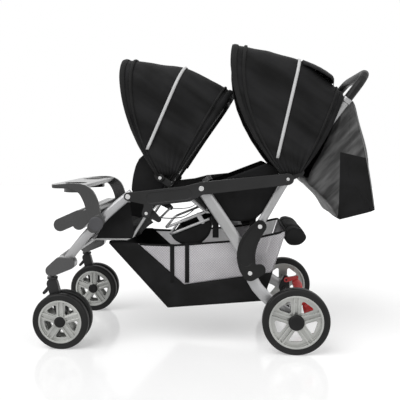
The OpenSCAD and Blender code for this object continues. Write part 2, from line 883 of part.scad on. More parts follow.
module basket_outline(rise) {
    polygon([basket_front_top + [0, rise], basket_dip + [0, rise], basket_rear_top + [0, rise],
        basket_floor_rear, basket_floor_front]);
}

module basket() {
    place(black_cloth) both_sides() {
        difference() {
            slab(0, basket_half) basket_outline(0);
            slab(-overrun, basket_half - basket_t)
                intersection() {
                    offset(delta = -basket_t) basket_outline(basket_sag + basket_t * 2);
                    basket_outline(basket_sag);
                }
        }
        slab(0, basket_half) polygon([for (s = roll_shares)
            basket_rear_top + [roll_len * s.x, roll_h * s.y - roll_drop]]);
    }
}

module basket_rim() {
    lift = [0, rim_r + seat_gap];
    near = [for (p = [basket_front_top, basket_dip, basket_rear_top])
        left_at(p + lift, basket_half - rim_r)];
    place(black_cloth) sweep(concat(near, flip_y(near)), rim_r, rim_r, [0, 0, 1], 10, true);
}

strap_w = 20;
strap_t = 2;
strap_places_share = [0.15, 0.75];

module basket_straps() {
    place(black_cloth) both_sides() for (s = strap_places_share) {
        x = lerp(-rear_rail_x, -rear_rail_back_x, s);
        t = (x - basket_dip.x) / (basket_rear_top.x - basket_dip.x);
        foot = lerp(basket_dip, basket_rear_top, t).y + rim_r * 2 + seat_gap * 3;
        top = rear_rail_z - seat_tube_r - seat_gap;
        translate([x - strap_w / 2, -seat_tube_y - strap_t / 2, foot])
            cube([strap_w, strap_t, top - foot]);
    }
}

// Boot: the soft pouch that hangs behind the rear seat, between the handle tubes
boot_half = handle_in - seat_gap;
boot_drop = 132;
boot_top_rise = 13;
boot_heel_shares = [[0.085, 0.0], [0.43, 0.8], [0.55, 1.12], [1, 0.9], [0.9, -0.35]];

module rear_boot() {
    low = rear_pivot.y + boot_top_rise;
    upper = collar_p - handle_dir * collar_len
        + [handle_dir.y, -handle_dir.x] * (board_t / 2 + run_gap);
    place(black_cloth) both_sides() slab(0, boot_half) polygon(concat(
        [for (s = boot_heel_shares) [boot_reach * s.x, low - boot_drop * s.y]],
        [upper + [handle_w, 0], upper]));
}

// Rear seat back: a board that turns on the rear shaft, with its cushion
board_t = 8;
board_start = 14;
back_eye_r = 11;
eye_in = back_tube_y - back_tube_r;

board_inset = 2;

module rear_back_board() {
    half = cushion_half - board_inset;
    notch = eye_in + board_inset;
    place(dark_plastic) difference() {
        union() {
            both_sides() pin(rear_pivot, back_eye_r, eye_in, cushion_half);
            on_slope(rear_pivot, handle_angle) difference() {
                translate([0, -half, -board_t / 2]) cube([rear_back_len, half * 2, board_t]);
                translate([-overrun, -notch, -board_t])
                    cube([board_start + overrun, notch * 2, board_t * 2]);
            }
        }
        bar(rear_pivot, shaft_r + pin_clear, cushion_half + overrun);
    }
}

module rear_back_cushion() {
    place(black_cloth) on_slope(rear_pivot, handle_angle)
        translate([board_start, 0, board_t / 2 + seat_gap])
            pad(rear_back_len - board_start, cushion_half, back_cushion_t);
}

// Recline brackets on the front seat's shaft, tied by a cross rod
bracket_t = 5;
bracket_in = seat_tube_y + seat_tube_r + run_gap;
bracket_r = 16;
bracket_end_r = 9;
tie_offset = [33, -25];
peg_offset = [-6, 38];
tie_r = 4;

module recline_brackets() {
    place(dark_plastic) {
        both_sides() difference() {
            slab(bracket_in, bracket_in + bracket_t) {
                limb(recline_p, bracket_r, recline_p + tie_offset, bracket_end_r);
                limb(recline_p, bracket_r, recline_p + peg_offset, bracket_end_r);
            }
            pin(recline_p, shaft_r + pin_clear, bracket_in - overrun,
                bracket_in + bracket_t + overrun);
        }
        bar(recline_p + tie_offset, tie_r, bracket_in);
    }
}

// Front seat back: U-shaped tube with its cushion and side wings
back_corner = 60;
back_steps = 4;
back_eye_rim = 0.5;
back_dir = dir2(front_back_angle);
back_face = [-back_dir.y, back_dir.x];

module front_back_frame() {
    top = recline_p + back_dir * front_back_len;
    place(silver) difference() {
        union() {
            both_sides() pin(recline_p, back_eye_r, eye_in - back_eye_rim * 2, cushion_half);
            sweep(u_path(function(s) lerp(recline_p, top, s), back_tube_y - back_eye_rim, back_corner,
                front_back_len, 1, back_steps), back_tube_r, back_tube_r,
                [back_face.x, 0, back_face.y], 12);
        }
        bar(recline_p, shaft_r + pin_clear, cushion_half + overrun);
    }
}

back_cushion_start = 34;
wing_t = 6;
wing_from = 55;
wing_to = 190;
wing_depth = 82;
wing_corner = 16;

module front_back_cushion() {
    place(black_cloth) on_slope(recline_p, front_back_angle) {
        translate([back_cushion_start, 0, back_tube_r + seat_gap])
            pad(front_back_len - back_cushion_start, cushion_half - wing_t - seat_gap,
                back_cushion_t);
        both_sides() translate([0, -cushion_half + wing_t, back_tube_r + seat_gap])
            rotate([90, 0, 0]) linear_extrude(wing_t) hull() {
                translate([wing_from, 0]) square([wing_to - wing_from, wing_corner]);
                for (x = [wing_from + wing_corner, wing_to - wing_corner * 2])
                    translate([x, wing_depth - wing_corner]) circle(wing_corner, $fn = hull_fn);
            }
    }
}

// Canopies: a bow on a pivot, and a hood stretched from the bow to the seat back
hood_gap = 0.6;
hood_steps = 6;
hood_stations = 8;
bow_r = bow_d / 2;
front_clip_along = 113;
front_clip_out = 31;
clip_r = 11;
clip_t = 16;
clip_pin_r = 4;
front_canopy_pivot = recline_p + back_dir * front_clip_along + back_face * front_clip_out;
clip_in = cushion_half + seat_gap;
front_bow_in = clip_in + clip_t + run_gap;
front_bow_y = front_bow_in + bow_r;
rear_hinge_in = handle_out + run_gap;
rear_hinge_t = 6;
rear_bow_in = rear_hinge_in + rear_hinge_t + run_gap;
rear_bow_y = rear_bow_in + bow_r;

// A hood is [front base, front control, front tip, middle tip, rear tip, rear base, rear control],
// its rear edge laid along the seat back or the handle
front_hood_shares = [[-0.021, 0.016], [-0.38, 0.524], [-0.319, 1], [0.204, 0.932]];
rear_hood_shares = [[-0.024, 0.009], [-0.486, 0.538], [-0.406, 1], [0.083, 0.877]];
front_edge_shares = [[1.057, -0.002], [0.357, -0.015], [0.707, -0.001]];
rear_edge_shares = [[1.041, 0.065], [0.139, -0.074], [0.604, -0.098]];
rear_hood_corner_share = 0.35;
function hood_edge(p, from, dir, length, shares) =
    [for (s = shares) from - p + (dir * s.x + [-dir.y, dir.x] * s.y) * length];
front_hood = concat(front_hood_h * front_hood_shares,
    hood_edge(front_canopy_pivot, recline_p, back_dir, front_back_len, front_edge_shares));
rear_hood = concat(rear_hood_h * rear_hood_shares,
    hood_edge(rear_pivot, rear_pivot, handle_dir, norm(collar_p - rear_pivot), rear_edge_shares));

function hood_base(h, u) = lerp(h[0], h[5], u);
function hood_tip(h, u) = let (mid = h[3] * 2 - (h[2] + h[4]) / 2) bez(h[2], mid, h[4], u);
function hood_bulge(h, u) = lerp(h[1] - (h[0] + h[2]) / 2, h[6] - (h[4] + h[5]) / 2, u);
function hood_at(h, u, s) = let (a = hood_base(h, u), c = hood_tip(h, u))
    bez(a, (a + c) / 2 + hood_bulge(h, u), c, s);
function hood_len(h, u) = norm(hood_tip(h, u) - hood_base(h, u));

function hood_section(p, h, u, half, inset, corner) = u_path(
    function(s) p + hood_at(h, u, s), half - inset, corner - inset, hood_len(h, u),
    1 - inset / hood_len(h, u), hood_steps);

// The corner seen from the front shrinks to rear_share of its size at the rear edge
module hood(p, h, half, rear_share) {
    n = hood_stations;
    function ring(u, inset) = hood_section(p, h, u, half, inset, hood_corner_r * lerp(1, rear_share, u));
    outer = [for (i = [0 : n]) ring(i / n, 0)];
    inner = [for (i = [0 : n]) ring(i / n, hood_t)];
    m = len(outer[0]);
    off = (n + 1) * m;
    skin = [for (i = [0 : n - 1], k = [0 : m - 2]) let (a = i * m + k, b = a + 1, c = a + m,
        d = c + 1) each [[a, b, c], [b, d, c], [off + a, off + c, off + b],
        [off + b, off + c, off + d]]];
    ends = [for (k = [0 : m - 2]) let (a = k, b = k + 1, c = n * m + k, d = c + 1) each [
        [a, off + a, b], [b, off + a, off + b], [c, d, off + c], [d, off + d, off + c]]];
    feet = [for (i = [0 : n - 1]) let (a = i * m, b = a + m, c = a + m - 1, d = c + m) each [
        [a, b, off + a], [b, off + b, off + a], [c, off + c, d], [d, off + c, off + d]]];
    polyhedron([for (r = concat(outer, inner)) each r],
        [for (f = concat(skin, ends, feet)) f]);
}

module bow(p, h, y, eye_from, eye_to, eye_bore) {
    inset = hood_t + hood_gap + bow_r;
    place(dark_plastic) difference() {
        union() {
            sweep(hood_section(p, h, 0, y + inset, inset, hood_corner_r), bow_r, bow_r,
                [hood_at(h, 0, 1).y, 0, -hood_at(h, 0, 1).x], 10);
            both_sides() slab(eye_from, eye_to) limb(p, clip_r, p + hood_at(h, 0, 0), clip_r);
        }
        both_sides() pin(p, eye_bore + pin_clear, eye_from - overrun, eye_to + overrun);
    }
}

module front_canopy_clips() {
    place(dark_plastic) both_sides() {
        slab(clip_in, clip_in + clip_t)
            limb(recline_p + back_dir * front_clip_along, clip_r, front_canopy_pivot, clip_r);
        pin(front_canopy_pivot, clip_pin_r, clip_in + clip_t, front_bow_in + bow_d);
    }
}

module front_canopy_bow() {
    bow(front_canopy_pivot, front_hood, front_bow_y, front_bow_in, front_bow_in + bow_d,
        clip_pin_r);
}

module front_canopy_fabric() {
    place(black_cloth)
        hood(front_canopy_pivot, front_hood, front_bow_y + bow_r + hood_gap + hood_t, 1);
}

module rear_canopy_hinges() {
    place(dark_plastic) both_sides() difference() {
        slab(rear_hinge_in, rear_hinge_in + rear_hinge_t)
            limb(rear_pivot, clip_r, rear_pivot + rear_hood[5], clip_r);
        pin(rear_pivot, shaft_r + pin_clear, rear_hinge_in - overrun,
            rear_hinge_in + rear_hinge_t + overrun);
    }
}

module rear_canopy_bow() {
    bow(rear_pivot, rear_hood, rear_bow_y, rear_bow_in, rear_bow_in + bow_d, shaft_r);
}

module rear_canopy_fabric() {
    place(black_cloth) hood(rear_pivot, rear_hood, rear_bow_y + bow_r + hood_gap + hood_t,
        rear_hood_corner_share);
}

// Tray: one moulding of an upper deck with cups, curved side arms, hubs and a lobed lower shelf
tray_deck_len = 118;
tray_deck_rise = 124;
tray_deck_back = 34;
tray_corner = 34;
tray_tip_r = 4;
tray_arm_r = 22;
tray_swell_share = 0.55;
tray_arm_steps = 14;
tray_half = beam_out;
tray_lip = 8;
cup_wall = 4;
cup_y_share = 0.52;
hub_pad_t = 3;
hub_pad_r = 19;
hub_pad_reach = 14;
tray_deck_p = tray_hub + [-tray_deck_back, tray_deck_rise];
cup_x = tray_deck_p.x - tray_deck_len / 2;
cup_y = tray_half * cup_y_share;

// Arm's middle line: from the deck's tip, round the rear corner and down to the hub
arm_shares = [[-1.1, 0.97], [-0.05, 1.08], [-0.17, 0.6], [0, 0]];
arm_points = [for (s = arm_shares) tray_hub + [tray_deck_rise * s.x, tray_deck_rise * s.y]];
function arm_at(t) = lerp(bez(arm_points[0], arm_points[1], arm_points[2], t),
    bez(arm_points[1], arm_points[2], arm_points[3], t), t);
function arm_half(t) = let (k = min(t / tray_swell_share, 1))
    tray_tip_r + (tray_arm_r - tray_tip_r) * k * k * (3 - 2 * k);
function arm_edge(t, hand) = let (d = unit(arm_at(t + overrun_share) - arm_at(t - overrun_share)))
    arm_at(t) + [-d.y, d.x] * arm_half(t) * hand;

module tray_arm() {
    n = tray_arm_steps;
    polygon(concat([for (i = [0 : n]) arm_edge(i / n, 1)], [for (i = [n : -1 : 0]) arm_edge(i / n, -1)]));
    translate(arm_points[0]) circle(tray_tip_r);
    translate(tray_hub) circle(tray_arm_r);
}

// Rounded deck that reaches forward from p, with its top at p
module deck(p, length, half) {
    translate([p.x, 0, p.y - tray_t]) linear_extrude(tray_t) hull() {
        for (y = [-1, 1]) translate([tray_corner - length, y * (half - tray_corner)])
            circle(tray_corner, $fn = hull_fn);
        translate([-tray_lip, -half]) square([tray_lip, half * 2]);
    }
}

// Lower shelf: two lobes under a top that slopes down to the front
lobe_r = 21;
lobe_front = [-119, -5];
lobe_rear = [-58, 0];
shelf_rise = 22;

module shelf() {
    rear = tray_hub + lobe_rear;
    limb(tray_hub + lobe_front, lobe_r, rear + [0, shelf_rise], lobe_r);
    limb(rear, lobe_r, rear + [lobe_r, shelf_rise], lobe_r);
}

module tray() {
    place(dark_plastic) difference() {
        union() {
            deck(tray_deck_p, tray_deck_len, tray_half - tray_tip_r);
            slab(-beam_in - tray_t / 2, beam_in + tray_t / 2) shelf();
            both_sides() {
                translate([cup_x, -cup_y, tray_deck_p.y - cup_depth - cup_wall])
                    cylinder(d = cup_d + cup_wall * 2, h = cup_depth + cup_wall);
                slab(beam_in, beam_out) tray_arm();
                slab(beam_out, beam_out + hub_pad_t) limb(tray_hub - front_leg_dir * hub_pad_reach,
                    hub_pad_r, tray_hub + front_leg_dir * hub_pad_reach, hub_pad_r);
            }
        }
        both_sides() {
            translate([cup_x, -cup_y, tray_deck_p.y - cup_depth])
                cylinder(d = cup_d, h = cup_depth + overrun);
            pin(tray_hub, shaft_r + pin_clear, beam_in - overrun, beam_out - hub_cover + seat_gap);
        }
    }
}

side_beam("left");  // side_beam_left
side_beam("right");  // side_beam_right
front_leg("left");  // front_leg_left
front_leg("right");  // front_leg_right
front_cross_tube();
footrest();
caster_housing("left");  // caster_housing_left
caster_housing("right");  // caster_housing_right
front_seat_frame();
front_seat_cushion();
rear_seat_frame();
rear_seat_cushion();
rear_seat_skirts();
rear_foot_tubes();
rear_footwell();
basket();
basket_rim();
basket_straps();
rear_pivot_shaft();
recline_shaft();
frame_rivets();
handle_tube("left");  // handle_tube_left
handle_tube("right");  // handle_tube_right
handle_collars();
handle_grip();
rear_boot();
rear_leg("left");  // rear_leg_left
rear_leg("right");  // rear_leg_right
rear_axle();
axle_blocks();
brake_pedal("left");  // brake_pedal_left
brake_pedal("right");  // brake_pedal_right
fold_link("left");  // fold_link_left
fold_link("right");  // fold_link_right
rear_back_board();
rear_back_cushion();
recline_brackets();
front_back_frame();
front_back_cushion();
front_canopy_clips();
front_canopy_fabric();
front_canopy_bow();
rear_canopy_hinges();
rear_canopy_fabric();
rear_canopy_bow();
tray();
caster_fork("left");  // caster_fork_left
caster_fork("right");  // caster_fork_right
front_tyre("left", outer_wheel_y);  // front_tyre_left_outer
front_rim("left", outer_wheel_y, true);  // front_rim_left_outer
front_tyre("left", inner_wheel_y);  // front_tyre_left_inner
front_rim("left", inner_wheel_y, false);  // front_rim_left_inner
front_tyre("right", outer_wheel_y);  // front_tyre_right_outer
front_rim("right", outer_wheel_y, true);  // front_rim_right_outer
front_tyre("right", inner_wheel_y);  // front_tyre_right_inner
front_rim("right", inner_wheel_y, false);  // front_rim_right_inner
rear_tyre("left");  // rear_tyre_left
rear_rim("left");  // rear_rim_left
rear_tyre("right");  // rear_tyre_right
rear_rim("right");  // rear_rim_right
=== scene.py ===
"""Looks of a tandem stroller: cloth, net, foam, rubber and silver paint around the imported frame."""
import json
from math import atan2, cos, exp, pi, radians, sin, sqrt

import bmesh
import bpy
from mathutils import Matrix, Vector, noise


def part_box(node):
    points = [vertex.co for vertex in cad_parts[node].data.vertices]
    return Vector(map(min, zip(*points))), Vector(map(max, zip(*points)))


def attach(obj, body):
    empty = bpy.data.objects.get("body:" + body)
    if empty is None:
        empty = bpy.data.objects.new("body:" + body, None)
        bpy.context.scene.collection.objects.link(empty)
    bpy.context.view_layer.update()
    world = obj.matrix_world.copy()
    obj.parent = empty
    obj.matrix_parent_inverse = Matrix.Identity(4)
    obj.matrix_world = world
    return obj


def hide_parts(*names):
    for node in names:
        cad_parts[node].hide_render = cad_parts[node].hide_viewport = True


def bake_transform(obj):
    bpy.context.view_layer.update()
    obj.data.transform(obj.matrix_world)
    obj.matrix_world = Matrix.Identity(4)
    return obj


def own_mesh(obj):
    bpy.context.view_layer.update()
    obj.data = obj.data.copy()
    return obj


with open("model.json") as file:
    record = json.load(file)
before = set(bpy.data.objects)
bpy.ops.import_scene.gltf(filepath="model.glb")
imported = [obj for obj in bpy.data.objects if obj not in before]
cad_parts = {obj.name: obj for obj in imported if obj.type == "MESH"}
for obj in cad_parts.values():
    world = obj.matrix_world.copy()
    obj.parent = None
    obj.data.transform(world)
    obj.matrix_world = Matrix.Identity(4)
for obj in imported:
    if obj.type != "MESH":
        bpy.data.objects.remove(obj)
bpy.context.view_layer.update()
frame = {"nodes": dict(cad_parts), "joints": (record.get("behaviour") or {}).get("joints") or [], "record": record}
NODES = frame["nodes"]
PIVOT = {j["name"]: Vector(j["pos_m"]) for j in frame["joints"]}
AXLE_X = PIVOT["rear_wheel_spin_left"].x
ACROSS = Vector((0, 1, 0))
REARWARD = Vector((1, 0, 0))
SIDES = ((-1, "left"), (1, "right"))


def side(x, z):
    """Point from the side view: millimetres behind the rear axle and above the floor."""
    return Vector((AXLE_X + x / 1000, 0, z / 1000))


def side_line(*points):
    return [side(x, z) for x, z in points]


# Materials

def node_tree(name):
    material = bpy.data.materials.new(name)
    material.use_nodes = True
    return material, material.node_tree, material.node_tree.nodes["Principled BSDF"]


def wire(node, inputs):
    """Gives a shader node's inputs values, or links from other nodes' outputs."""
    for key, value in inputs.items():
        if isinstance(value, bpy.types.NodeSocket):
            node.id_data.links.new(value, node.inputs[key])
        else:
            node.inputs[key].default_value = value


def new_node(tree, kind, inputs):
    node = tree.nodes.new(kind)
    wire(node, inputs)
    return node


STREAK_STRETCH = 6.0
TEXTURE_DETAIL = 2.0
TONE_FROM, TONE_TO = 0.35, 0.65
BEVEL_SAMPLES = 8
SHEEN_ROUGH = 0.45
COAT_ROUGH = 0.25
PLASTIC_DRIFT = 9
METAL_DRIFT = 12
METAL_EDGE = 0.002
PEEL_SCALE = 420
# Spread and scale of the roughness
CLOTH_ROUGH, PLASTIC_ROUGH, METAL_ROUGH = (0.1, 40), (0.06, 60), (0.07, 90)
# Strength and depth of the surface
WEAVE, GRAIN, PEEL = (0.25, 0.0005), (0.12, 0.0004), (0.05, 0.0003)


def texture(tree, kind, scale, lean=None):
    """Noise or wave texture in metres on the object, drawn out along the slope lean in the side view."""
    place = tree.nodes.new("ShaderNodeTexCoord").outputs["Object"]
    if lean is not None:
        turn = tree.nodes.new("ShaderNodeMapping")
        turn.vector_type = "TEXTURE"
        wire(turn, {"Vector": place, "Rotation": (0, -lean, 0),
                    "Scale": (STREAK_STRETCH, STREAK_STRETCH, 1)})
        place = turn.outputs["Vector"]
    return new_node(tree, kind, {"Vector": place, "Scale": scale, "Detail": TEXTURE_DETAIL})


def mottle(tree, shader, dark, light, scale, lean=None):
    """Colour that drifts between two tones at random; where it leans, its streaks are painted highlights along
    creases.
    """
    drift = texture(tree, "ShaderNodeTexNoise", scale, lean)
    ramp = new_node(tree, "ShaderNodeValToRGB", {"Fac": drift.outputs["Fac"]})
    first, last = ramp.color_ramp.elements
    first.position, first.color = TONE_FROM, (*dark, 1)
    last.position, last.color = TONE_TO, (*light, 1)
    wire(shader, {"Base Color": ramp.outputs["Color"]})


def rough_about(tree, shader, rough, spread, scale):
    """Roughness that drifts by spread to both sides."""
    drift = texture(tree, "ShaderNodeTexNoise", scale)
    level = new_node(tree, "ShaderNodeMapRange", {
        "Value": drift.outputs["Fac"], "To Min": rough - spread, "To Max": rough + spread})
    wire(shader, {"Roughness": level.outputs["Result"]})


def bump(tree, shader, height, strength, depth, round_edges=0.0):
    dents = new_node(tree, "ShaderNodeBump", {"Height": height, "Strength": strength, "Distance": depth})
    if round_edges:
        bevel = new_node(tree, "ShaderNodeBevel", {"Radius": round_edges})
        bevel.samples = BEVEL_SAMPLES
        wire(dents, {"Normal": bevel.outputs["Normal"]})
    wire(shader, {"Normal": dents.outputs["Normal"]})


def cloth(name, dark, light, threads=150, sheen=0.03, rough=0.72, specular=0.12, drift=14, lean=None):
    """Woven polyester: crossed threads, uneven dye, leaning streaks of painted highlight where lean is given, and
    a soft sheen.
    """
    material, tree, shader = node_tree(name)
    mottle(tree, shader, dark, light, drift, lean)
    rough_about(tree, shader, rough, *CLOTH_ROUGH)
    warp = texture(tree, "ShaderNodeTexWave", threads)
    weft = texture(tree, "ShaderNodeTexWave", threads)
    warp.bands_direction = "DIAGONAL"
    weft.bands_direction = "Z"
    both = new_node(tree, "ShaderNodeMath", {0: warp.outputs["Fac"], 1: weft.outputs["Fac"]})
    wire(shader, {"Specular IOR Level": specular, "Sheen Weight": sheen, "Sheen Roughness": SHEEN_ROUGH})
    bump(tree, shader, both.outputs["Value"], *WEAVE)
    return material


def plastic(name, dark, light, rough, grain=1400, round_edges=0.0015, coat=0.0, specular=0.25):
    """Moulded plastic with a fine spark-eroded grain."""
    material, tree, shader = node_tree(name)
    mottle(tree, shader, dark, light, PLASTIC_DRIFT)
    rough_about(tree, shader, rough, *PLASTIC_ROUGH)
    wire(shader, {"Specular IOR Level": specular, "Coat Weight": coat, "Coat Roughness": COAT_ROUGH})
    fine = texture(tree, "ShaderNodeTexNoise", grain)
    bump(tree, shader, fine.outputs["Fac"], *GRAIN, round_edges)
    return material


def metal(name, dark, light, rough, metallic):
    """Coated or plain metal with a slight orange-peel surface."""
    material, tree, shader = node_tree(name)
    mottle(tree, shader, dark, light, METAL_DRIFT)
    rough_about(tree, shader, rough, *METAL_ROUGH)
    wire(shader, {"Metallic": metallic})
    peel = texture(tree, "ShaderNodeTexNoise", PEEL_SCALE)
    bump(tree, shader, peel.outputs["Fac"], *PEEL, METAL_EDGE)
    return material


def grey(level, blue=0.0):
    """Neutral colour, with a share more of blue."""
    return level, level, level * (1 + blue)


BLACK = cloth("black_cloth", grey(0.0075), grey(0.0125, 0.04))
# Hood cloth: dark, with light leaning streaks that are painted sheen on its creases.
HOOD_PAINTED_SHEEN = cloth("hood_cloth_painted_sheen", grey(0.0035), grey(0.0155, 0.04), rough=0.64, specular=0.13, drift=22,
             lean=radians(-35))
TRIM = cloth("black_binding", grey(0.013), grey(0.020), threads=220, sheen=0.05)
# Sheer boot cloth, paler than the black: its light streaks leaning with the folds are painted highlights.
SHEER_PAINTED_HIGHLIGHTS = cloth("sheer_cloth_painted_highlights", grey(0.024), grey(0.120), threads=260, sheen=0.10, rough=0.5, specular=0.3,
              drift=52, lean=radians(48))
WEB = cloth("webbing", grey(0.005), grey(0.009), threads=90)
NET_TONES = (0.72, 0.70, 0.725), (0.80, 0.78, 0.805)
NET = cloth("net_cloth", *NET_TONES, threads=400)
GAUZE = cloth("net_gauze", *NET_TONES, threads=400)
GAUZE_COVER = 0.55
wire(GAUZE.node_tree.nodes["Principled BSDF"], {"Alpha": GAUZE_COVER})
PIPING = plastic("silver_piping", grey(0.55), grey(0.66), 0.35, grain=600, specular=0.5)
# Light grey cord that paints the highlight along the boot's rear edges.
EDGE_HIGHLIGHT_CORD = plastic("painted_edge_highlight", grey(0.14), grey(0.20), 0.45, grain=600, specular=0.4)
DARK = plastic("dark_plastic", grey(0.011), grey(0.017, 0.05), 0.38, round_edges=0.004, coat=0.06)
GLOSS = plastic("gloss_plastic", grey(0.011), grey(0.017, 0.05), 0.22, round_edges=0.008, coat=0.9,
                specular=0.5)
JET = plastic("black_plastic", grey(0.007), grey(0.011), 0.45, round_edges=0.003, specular=0.2)
TRAY = plastic("tray_plastic", grey(0.014), grey(0.021), 0.22, round_edges=0.004, coat=0.6, specular=0.4)
HUB = plastic("hub_plastic", grey(0.055, 0.08), grey(0.075, 0.08), 0.38, round_edges=0.0, specular=0.4)
PALE = plastic("footrest_plastic", grey(0.34), grey(0.41), 0.4, specular=0.5)
RED = plastic("red_plastic", (0.58, 0.03, 0.03), (0.70, 0.05, 0.05), 0.25, coat=0.4, specular=0.5)
SILVER = metal("silver_coat", grey(0.36), grey(0.43, 0.02), 0.34, 0.55)
STEEL = metal("steel", grey(0.50), grey(0.58), 0.28, 0.95)
RIM = metal("rim_coat", (0.37, 0.375, 0.36), (0.47, 0.475, 0.455), 0.30, 0.6)
RUBBER = plastic("rubber", grey(0.006), grey(0.012), 0.50, grain=700, specular=0.25)
FOAM = plastic("foam", grey(0.006), grey(0.011), 0.42, grain=2200, specular=0.2)

LOOKS = {
    "silver_tube": SILVER, "steel": STEEL, "grey_plastic": DARK, "black_plastic": JET,
    "footrest_plastic": PALE, "black_cloth": BLACK, "foam": FOAM, "red_plastic": RED,
    "tyre": RUBBER, "wheel_silver": RIM,
}
for part in frame["record"]["subparts"]:
    node = NODES[part["node"]]
    node.data.materials.clear()
    node.data.materials.append(LOOKS[part["material_slot"]])
OWN_LOOKS = {
    "tray": TRAY, "caster_housing_left": GLOSS, "caster_housing_right": GLOSS, "front_back_frame": TRIM,
}
for name, look in OWN_LOOKS.items():
    NODES[name].data.materials[0] = look


# Mesh builders

def place_object(name, data):
    obj = bpy.data.objects.new(name, data)
    bpy.context.scene.collection.objects.link(obj)
    return obj


def add(name, points, faces, material, thickness=0.0, subdivide=0):
    """New smooth mesh object, thickened and subdivided."""
    mesh = bpy.data.meshes.new(name)
    mesh.from_pydata([tuple(p) for p in points], [], faces)
    mesh.materials.append(material)
    obj = place_object(name, mesh)
    if thickness:
        thicken(obj, thickness)
    if subdivide:
        obj.modifiers.new("smooth", "SUBSURF").levels = subdivide
    return bake(obj)


def thicken(obj, thickness):
    solid = obj.modifiers.new("solid", "SOLIDIFY")
    solid.thickness = thickness
    solid.offset = 0


def bake(obj):
    """Applies the modifiers, turns faces outwards and shades the mesh smooth."""
    bpy.context.view_layer.update()
    graph = bpy.context.evaluated_depsgraph_get()
    mesh = bpy.data.meshes.new_from_object(obj.evaluated_get(graph))
    obj.modifiers.clear()
    obj.data = mesh
    shape = bmesh.new()
    shape.from_mesh(mesh)
    bmesh.ops.recalc_face_normals(shape, faces=shape.faces)
    shape.to_mesh(mesh)
    shape.free()
    mesh.shade_smooth()
    return obj


def grid_faces(rows, columns, wrap=False):
    last = columns if wrap else columns - 1
    return [(i * columns + k, i * columns + (k + 1) % columns,
             (i + 1) * columns + (k + 1) % columns, (i + 1) * columns + k)
            for i in range(rows - 1) for k in range(last)]


def skin_faces(rings, count):
    """Faces of a closed skin: bands between rings, and an end face on the first and last ring."""
    last = (rings - 1) * count
    return grid_faces(rings, count, wrap=True) + [tuple(range(count)), tuple(range(last, last + count))]


def grid(name, rows, material, thickness=0.0, subdivide=0):
    """Sheet through rows of points."""
    return add(name, [p for row in rows for p in row], grid_faces(len(rows), len(rows[0])),
               material, thickness, subdivide)


def loft(name, rings, material):
    """Closed skin through rings of points."""
    return add(name, [p for ring in rings for p in ring], skin_faces(len(rings), len(rings[0])), material)


def spline(points, steps=8, closed=False):
    """Smooth line through the points."""
    count = len(points)
    line = []
    for i in range(count if closed else count - 1):
        a, b, c, d = (points[(i + k) % count] if closed else points[min(max(i + k, 0), count - 1)]
                      for k in (-1, 0, 1, 2))
        for n in range(steps):
            t = n / steps
            line.append(0.5 * (2 * b + (c - a) * t + (2 * a - 5 * b + 4 * c - d) * t * t
                               + (3 * b - a - 3 * c + d) * t ** 3))
    return line if closed else line + [points[-1]]


def rings_along(path, half_a, half_b, across, sides):
    """Oval rings along a path; half_a lies along "across"."""
    rings = []
    for i, point in enumerate(path):
        ahead = (path[min(i + 1, len(path) - 1)] - path[max(i - 1, 0)]).normalized()
        a = (across - ahead * across.dot(ahead)).normalized()
        b = ahead.cross(a)
        rings.append([point + a * half_a * cos(2 * pi * k / sides) + b * half_b * sin(2 * pi * k / sides)
                      for k in range(sides)])
    return rings


def tube(name, path, half_a, half_b, across, material, sides):
    return loft(name, rings_along(path, half_a, half_b, across, sides), material)


TURN_STEPS = 48


def lathe(name, centre, outward, profile, material):
    """Body turned about the Y axis: profile of (radius, distance outwards from centre)."""
    turns = [2 * pi * k / TURN_STEPS for k in range(TURN_STEPS)]
    rings = [[centre + Vector((r * cos(a), outward * d, r * sin(a))) for a in turns] for r, d in profile]
    return loft(name, rings, material)


def join(name, parts):
    """One object from several, in the first one's material."""
    shape = bmesh.new()
    for part in parts:
        shape.from_mesh(part.data)
    mesh = bpy.data.meshes.new(name)
    shape.to_mesh(mesh)
    shape.free()
    mesh.materials.append(parts[0].data.materials[0])
    for part in parts:
        bpy.data.objects.remove(part)
    mesh.shade_smooth()
    return place_object(name, mesh)


def bez(a, b, c, t):
    """Point of a curve from a to c that bends towards b."""
    return a * (1 - t) ** 2 + b * 2 * t * (1 - t) + c * t * t


def mix(a, b, t):
    return a + (b - a) * t


def shares(steps):
    """Even shares from 0 to 1."""
    return [i / steps for i in range(steps + 1)]


def crease(point, scale, seed):
    """Smooth random value from -1 to 1."""
    return noise.noise(point * scale + Vector((seed, 2 * seed, 3 * seed)))


PANEL_END = 0.004


def panel_rows(outline, columns, rows):
    """Points of a side view outline, row by row: each column runs from its lower to its upper edge."""
    left, right = min(p.x for p in outline), max(p.x for p in outline)
    lines = [[] for _ in range(rows + 1)]
    for k in range(columns + 1):
        x = mix(left, right, PANEL_END + (1 - 2 * PANEL_END) * k / columns)
        heights = [mix(a.z, b.z, (x - a.x) / (b.x - a.x))
                   for a, b in zip(outline, outline[1:] + outline[:1]) if (a.x < x) != (b.x < x)]
        for i in range(rows + 1):
            lines[i].append(Vector((x, 0, mix(min(heights), max(heights), i / rows))))
    return lines


def rounded(corners, radius, steps):
    """Closed line through straight stretches with rounded corners."""
    line = []
    for i, p in enumerate(corners):
        a, b = corners[i - 1] - p, corners[(i + 1) % len(corners)] - p
        a, b = (p + v.normalized() * min(radius, v.length * 0.45) for v in (a, b))
        line += [bez(a, p, b, n / steps) for n in range(steps + 1)]
    return line


# Camera, light and floor

CAMERA_PLACE = Vector((0.1024, -1.9895, 0.6522))
CAMERA_YAW = 0.0605
CAMERA_PITCH = 0.0949
CAMERA_LENS = 50.93


def camera():
    data = bpy.data.cameras.new("camera")
    data.lens = CAMERA_LENS
    obj = place_object("camera", data)
    obj.location = CAMERA_PLACE
    ahead = Vector((-sin(CAMERA_YAW) * cos(CAMERA_PITCH), cos(CAMERA_YAW) * cos(CAMERA_PITCH),
                    -sin(CAMERA_PITCH)))
    obj.rotation_euler = ahead.to_track_quat("-Z", "Y").to_euler()
    bpy.context.scene.camera = obj


